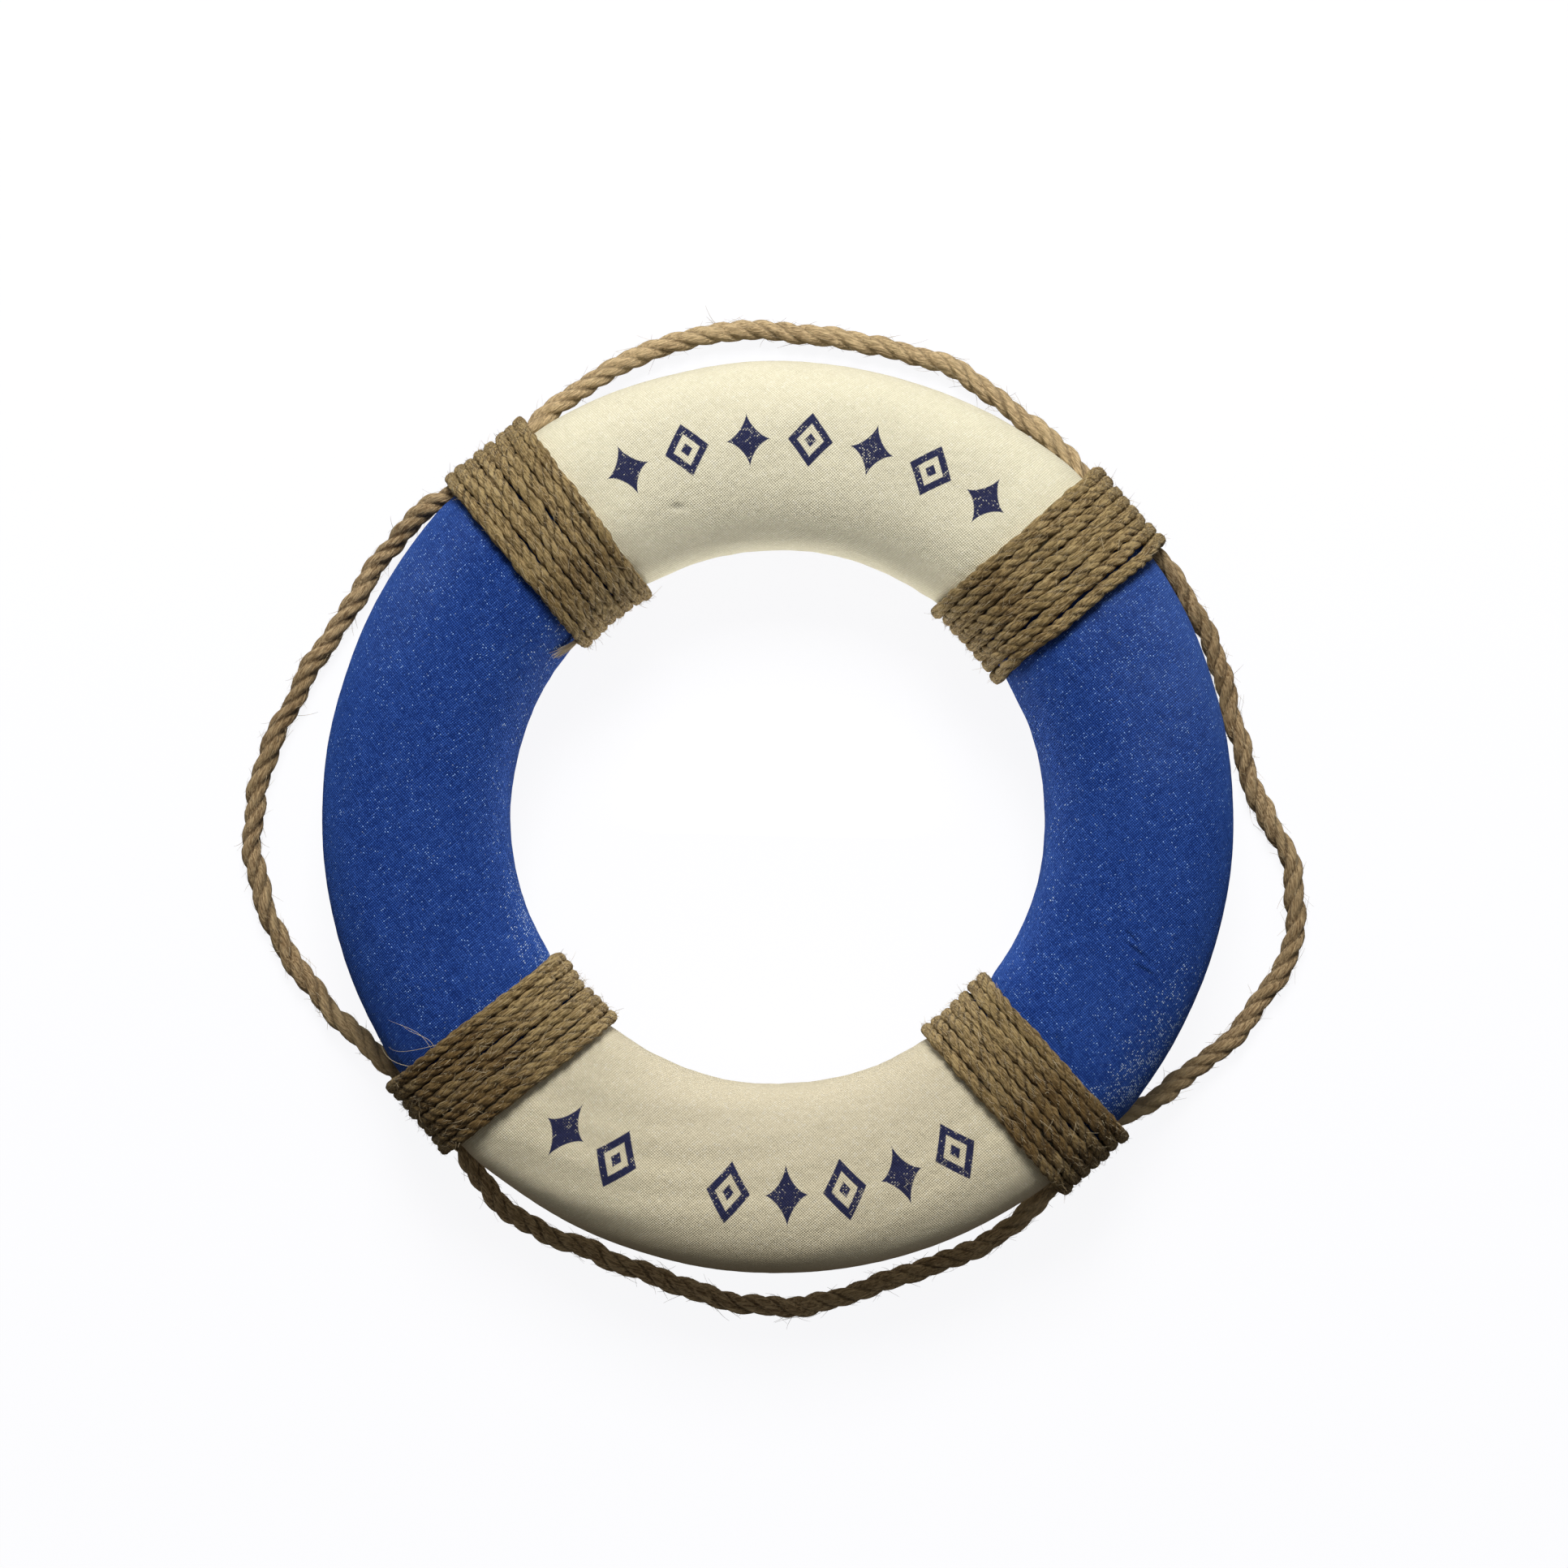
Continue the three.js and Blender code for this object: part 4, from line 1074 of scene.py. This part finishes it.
dress(foam, foam_material("foam_beads"))


# ---------------------------------------------------------------- floor, backdrop and light
KEY_POWER, KEY_TILT = 47.0, 44.0
FILL_LOW, FILL_HIGH = 0.06, 0.31
HOLE_POWER = 0.10
HOLE_SIDE_POWER = 0.085


def floor_bowl():
    """A flat floor that turns up into a wall far away."""
    r = np.concatenate([np.linspace(0.02, 4.0, 24), 4.0 + 1.5 * np.sin(np.linspace(0.1, np.pi / 2, 14)), np.full(6, 5.5)])
    z = np.concatenate([np.zeros(24), 1.5 * (1 - np.cos(np.linspace(0.1, np.pi / 2, 14))), np.linspace(2.2, 7.0, 6)])
    a = np.linspace(0, 2 * np.pi, 96, endpoint=False)
    verts = np.stack([r[:, None] * np.cos(a), r[:, None] * np.sin(a), z[:, None] + 0 * a], axis=-1).reshape(-1, 3) / MM
    quads = grid_quads(len(r), len(a), wrap_cols=True, flip=True)
    centre = len(verts)
    verts = np.concatenate([verts, [[0, 0, 0]]])
    j = np.arange(96)
    tris = np.stack([np.full(96, centre), j, (j + 1) % 96], axis=1)
    return make_piece("floor", verts, quads, tris)


floor = floor_bowl()
n = Nodes("floor_paper")
coordinates = n.node("ShaderNodeTexCoord").outputs["Object"]
paper = n.noise(coordinates, 3.0, 2.0)
n_diffuse = n.node("ShaderNodeBsdfDiffuse")
n.put(n_diffuse.inputs["Color"], n.mix(paper, rgb(0.085, 0.085, 0.09), rgb(0.095, 0.095, 0.095)))
n_glow = n.node("ShaderNodeEmission")
n_glow.inputs["Color"].default_value = rgb(0.985, 0.985, 1.0)
n_glow.inputs["Strength"].default_value = 0.93
n_add = n.node("ShaderNodeAddShader")
n.tree.links.new(n_diffuse.outputs[0], n_add.inputs[0])
n.tree.links.new(n_glow.outputs[0], n_add.inputs[1])
n.tree.links.new(n_add.outputs[0], n.output.inputs["Surface"])
dress(floor, n.material)
floor.visible_diffuse = False
floor.visible_glossy = False
floor.visible_shadow = False

world = bpy.data.worlds.new("world")
scene.world = world
world.use_nodes = True
sky = world.node_tree
sky.nodes.clear()


def sky_node(kind, **properties):
    node = sky.nodes.new(kind)
    for key, value in properties.items():
        setattr(node, key, value)
    return node


# soft fill: lighter from the upper side of the picture than from the lower side
sky_out = sky_node("ShaderNodeOutputWorld")
sky_background = sky_node("ShaderNodeBackground")
sky_coordinates = sky_node("ShaderNodeTexCoord")
sky_dot = sky_node("ShaderNodeVectorMath", operation="DOT_PRODUCT")
sky_dot.inputs[1].default_value = (math.cos(math.radians(94.0)), math.sin(math.radians(94.0)), 0.0)
sky_range = sky_node("ShaderNodeMapRange", interpolation_type="SMOOTHSTEP")
for key, value in (("From Min", -0.55), ("From Max", 0.55), ("To Min", FILL_LOW), ("To Max", FILL_HIGH)):
    sky_range.inputs[key].default_value = value
sky.links.new(sky_coordinates.outputs["Generated"], sky_dot.inputs[0])
sky.links.new(sky_dot.outputs["Value"], sky_range.inputs["Value"])
sky.links.new(sky_range.outputs[0], sky_background.inputs["Strength"])
sky_background.inputs["Color"].default_value = (0.98, 0.985, 1.0, 1.0)
sky.links.new(sky_background.outputs[0], sky_out.inputs["Surface"])


def area_light(name, location, target, size, power, color=(1, 1, 1), shape="SQUARE"):
    data = bpy.data.lights.new(name, "AREA")
    data.shape = shape
    data.size = size
    data.energy = power
    data.color = color
    obj = bpy.data.objects.new(name, data)
    scene.collection.objects.link(obj)
    obj.location = location
    d = np.array(target, dtype=float) - np.array(location, dtype=float)
    d = d / np.linalg.norm(d)
    obj.rotation_euler = (math.acos(max(-1.0, min(1.0, -d[2]))), 0.0, math.atan2(d[1], d[0]) - math.pi / 2)
    obj.visible_camera = False
    return obj


UP = np.array([math.cos(math.radians(94.0)), math.sin(math.radians(94.0)), 0.0])
key_at = UP * 2.16 * math.sin(math.radians(KEY_TILT)) + np.array([0, 0, 2.16 * math.cos(math.radians(KEY_TILT)) + 0.03])
area_light("key", key_at, (0, 0, 0.04), 0.9, KEY_POWER)
area_light("low_fill", (-0.10, -1.5, 0.16), (0, 0, 0.03), 0.8, 0.8, color=(1.0, 0.93, 0.84))
area_light("hole_bounce", (0, 0.004, 0.003), (0, 0.004, 1.0), 0.13, HOLE_POWER, shape="DISK")
area_light("hole_bounce_upper", (0.0, -0.012, 0.010), (-0.005, 0.10, 0.060), 0.10, HOLE_SIDE_POWER, shape="DISK")
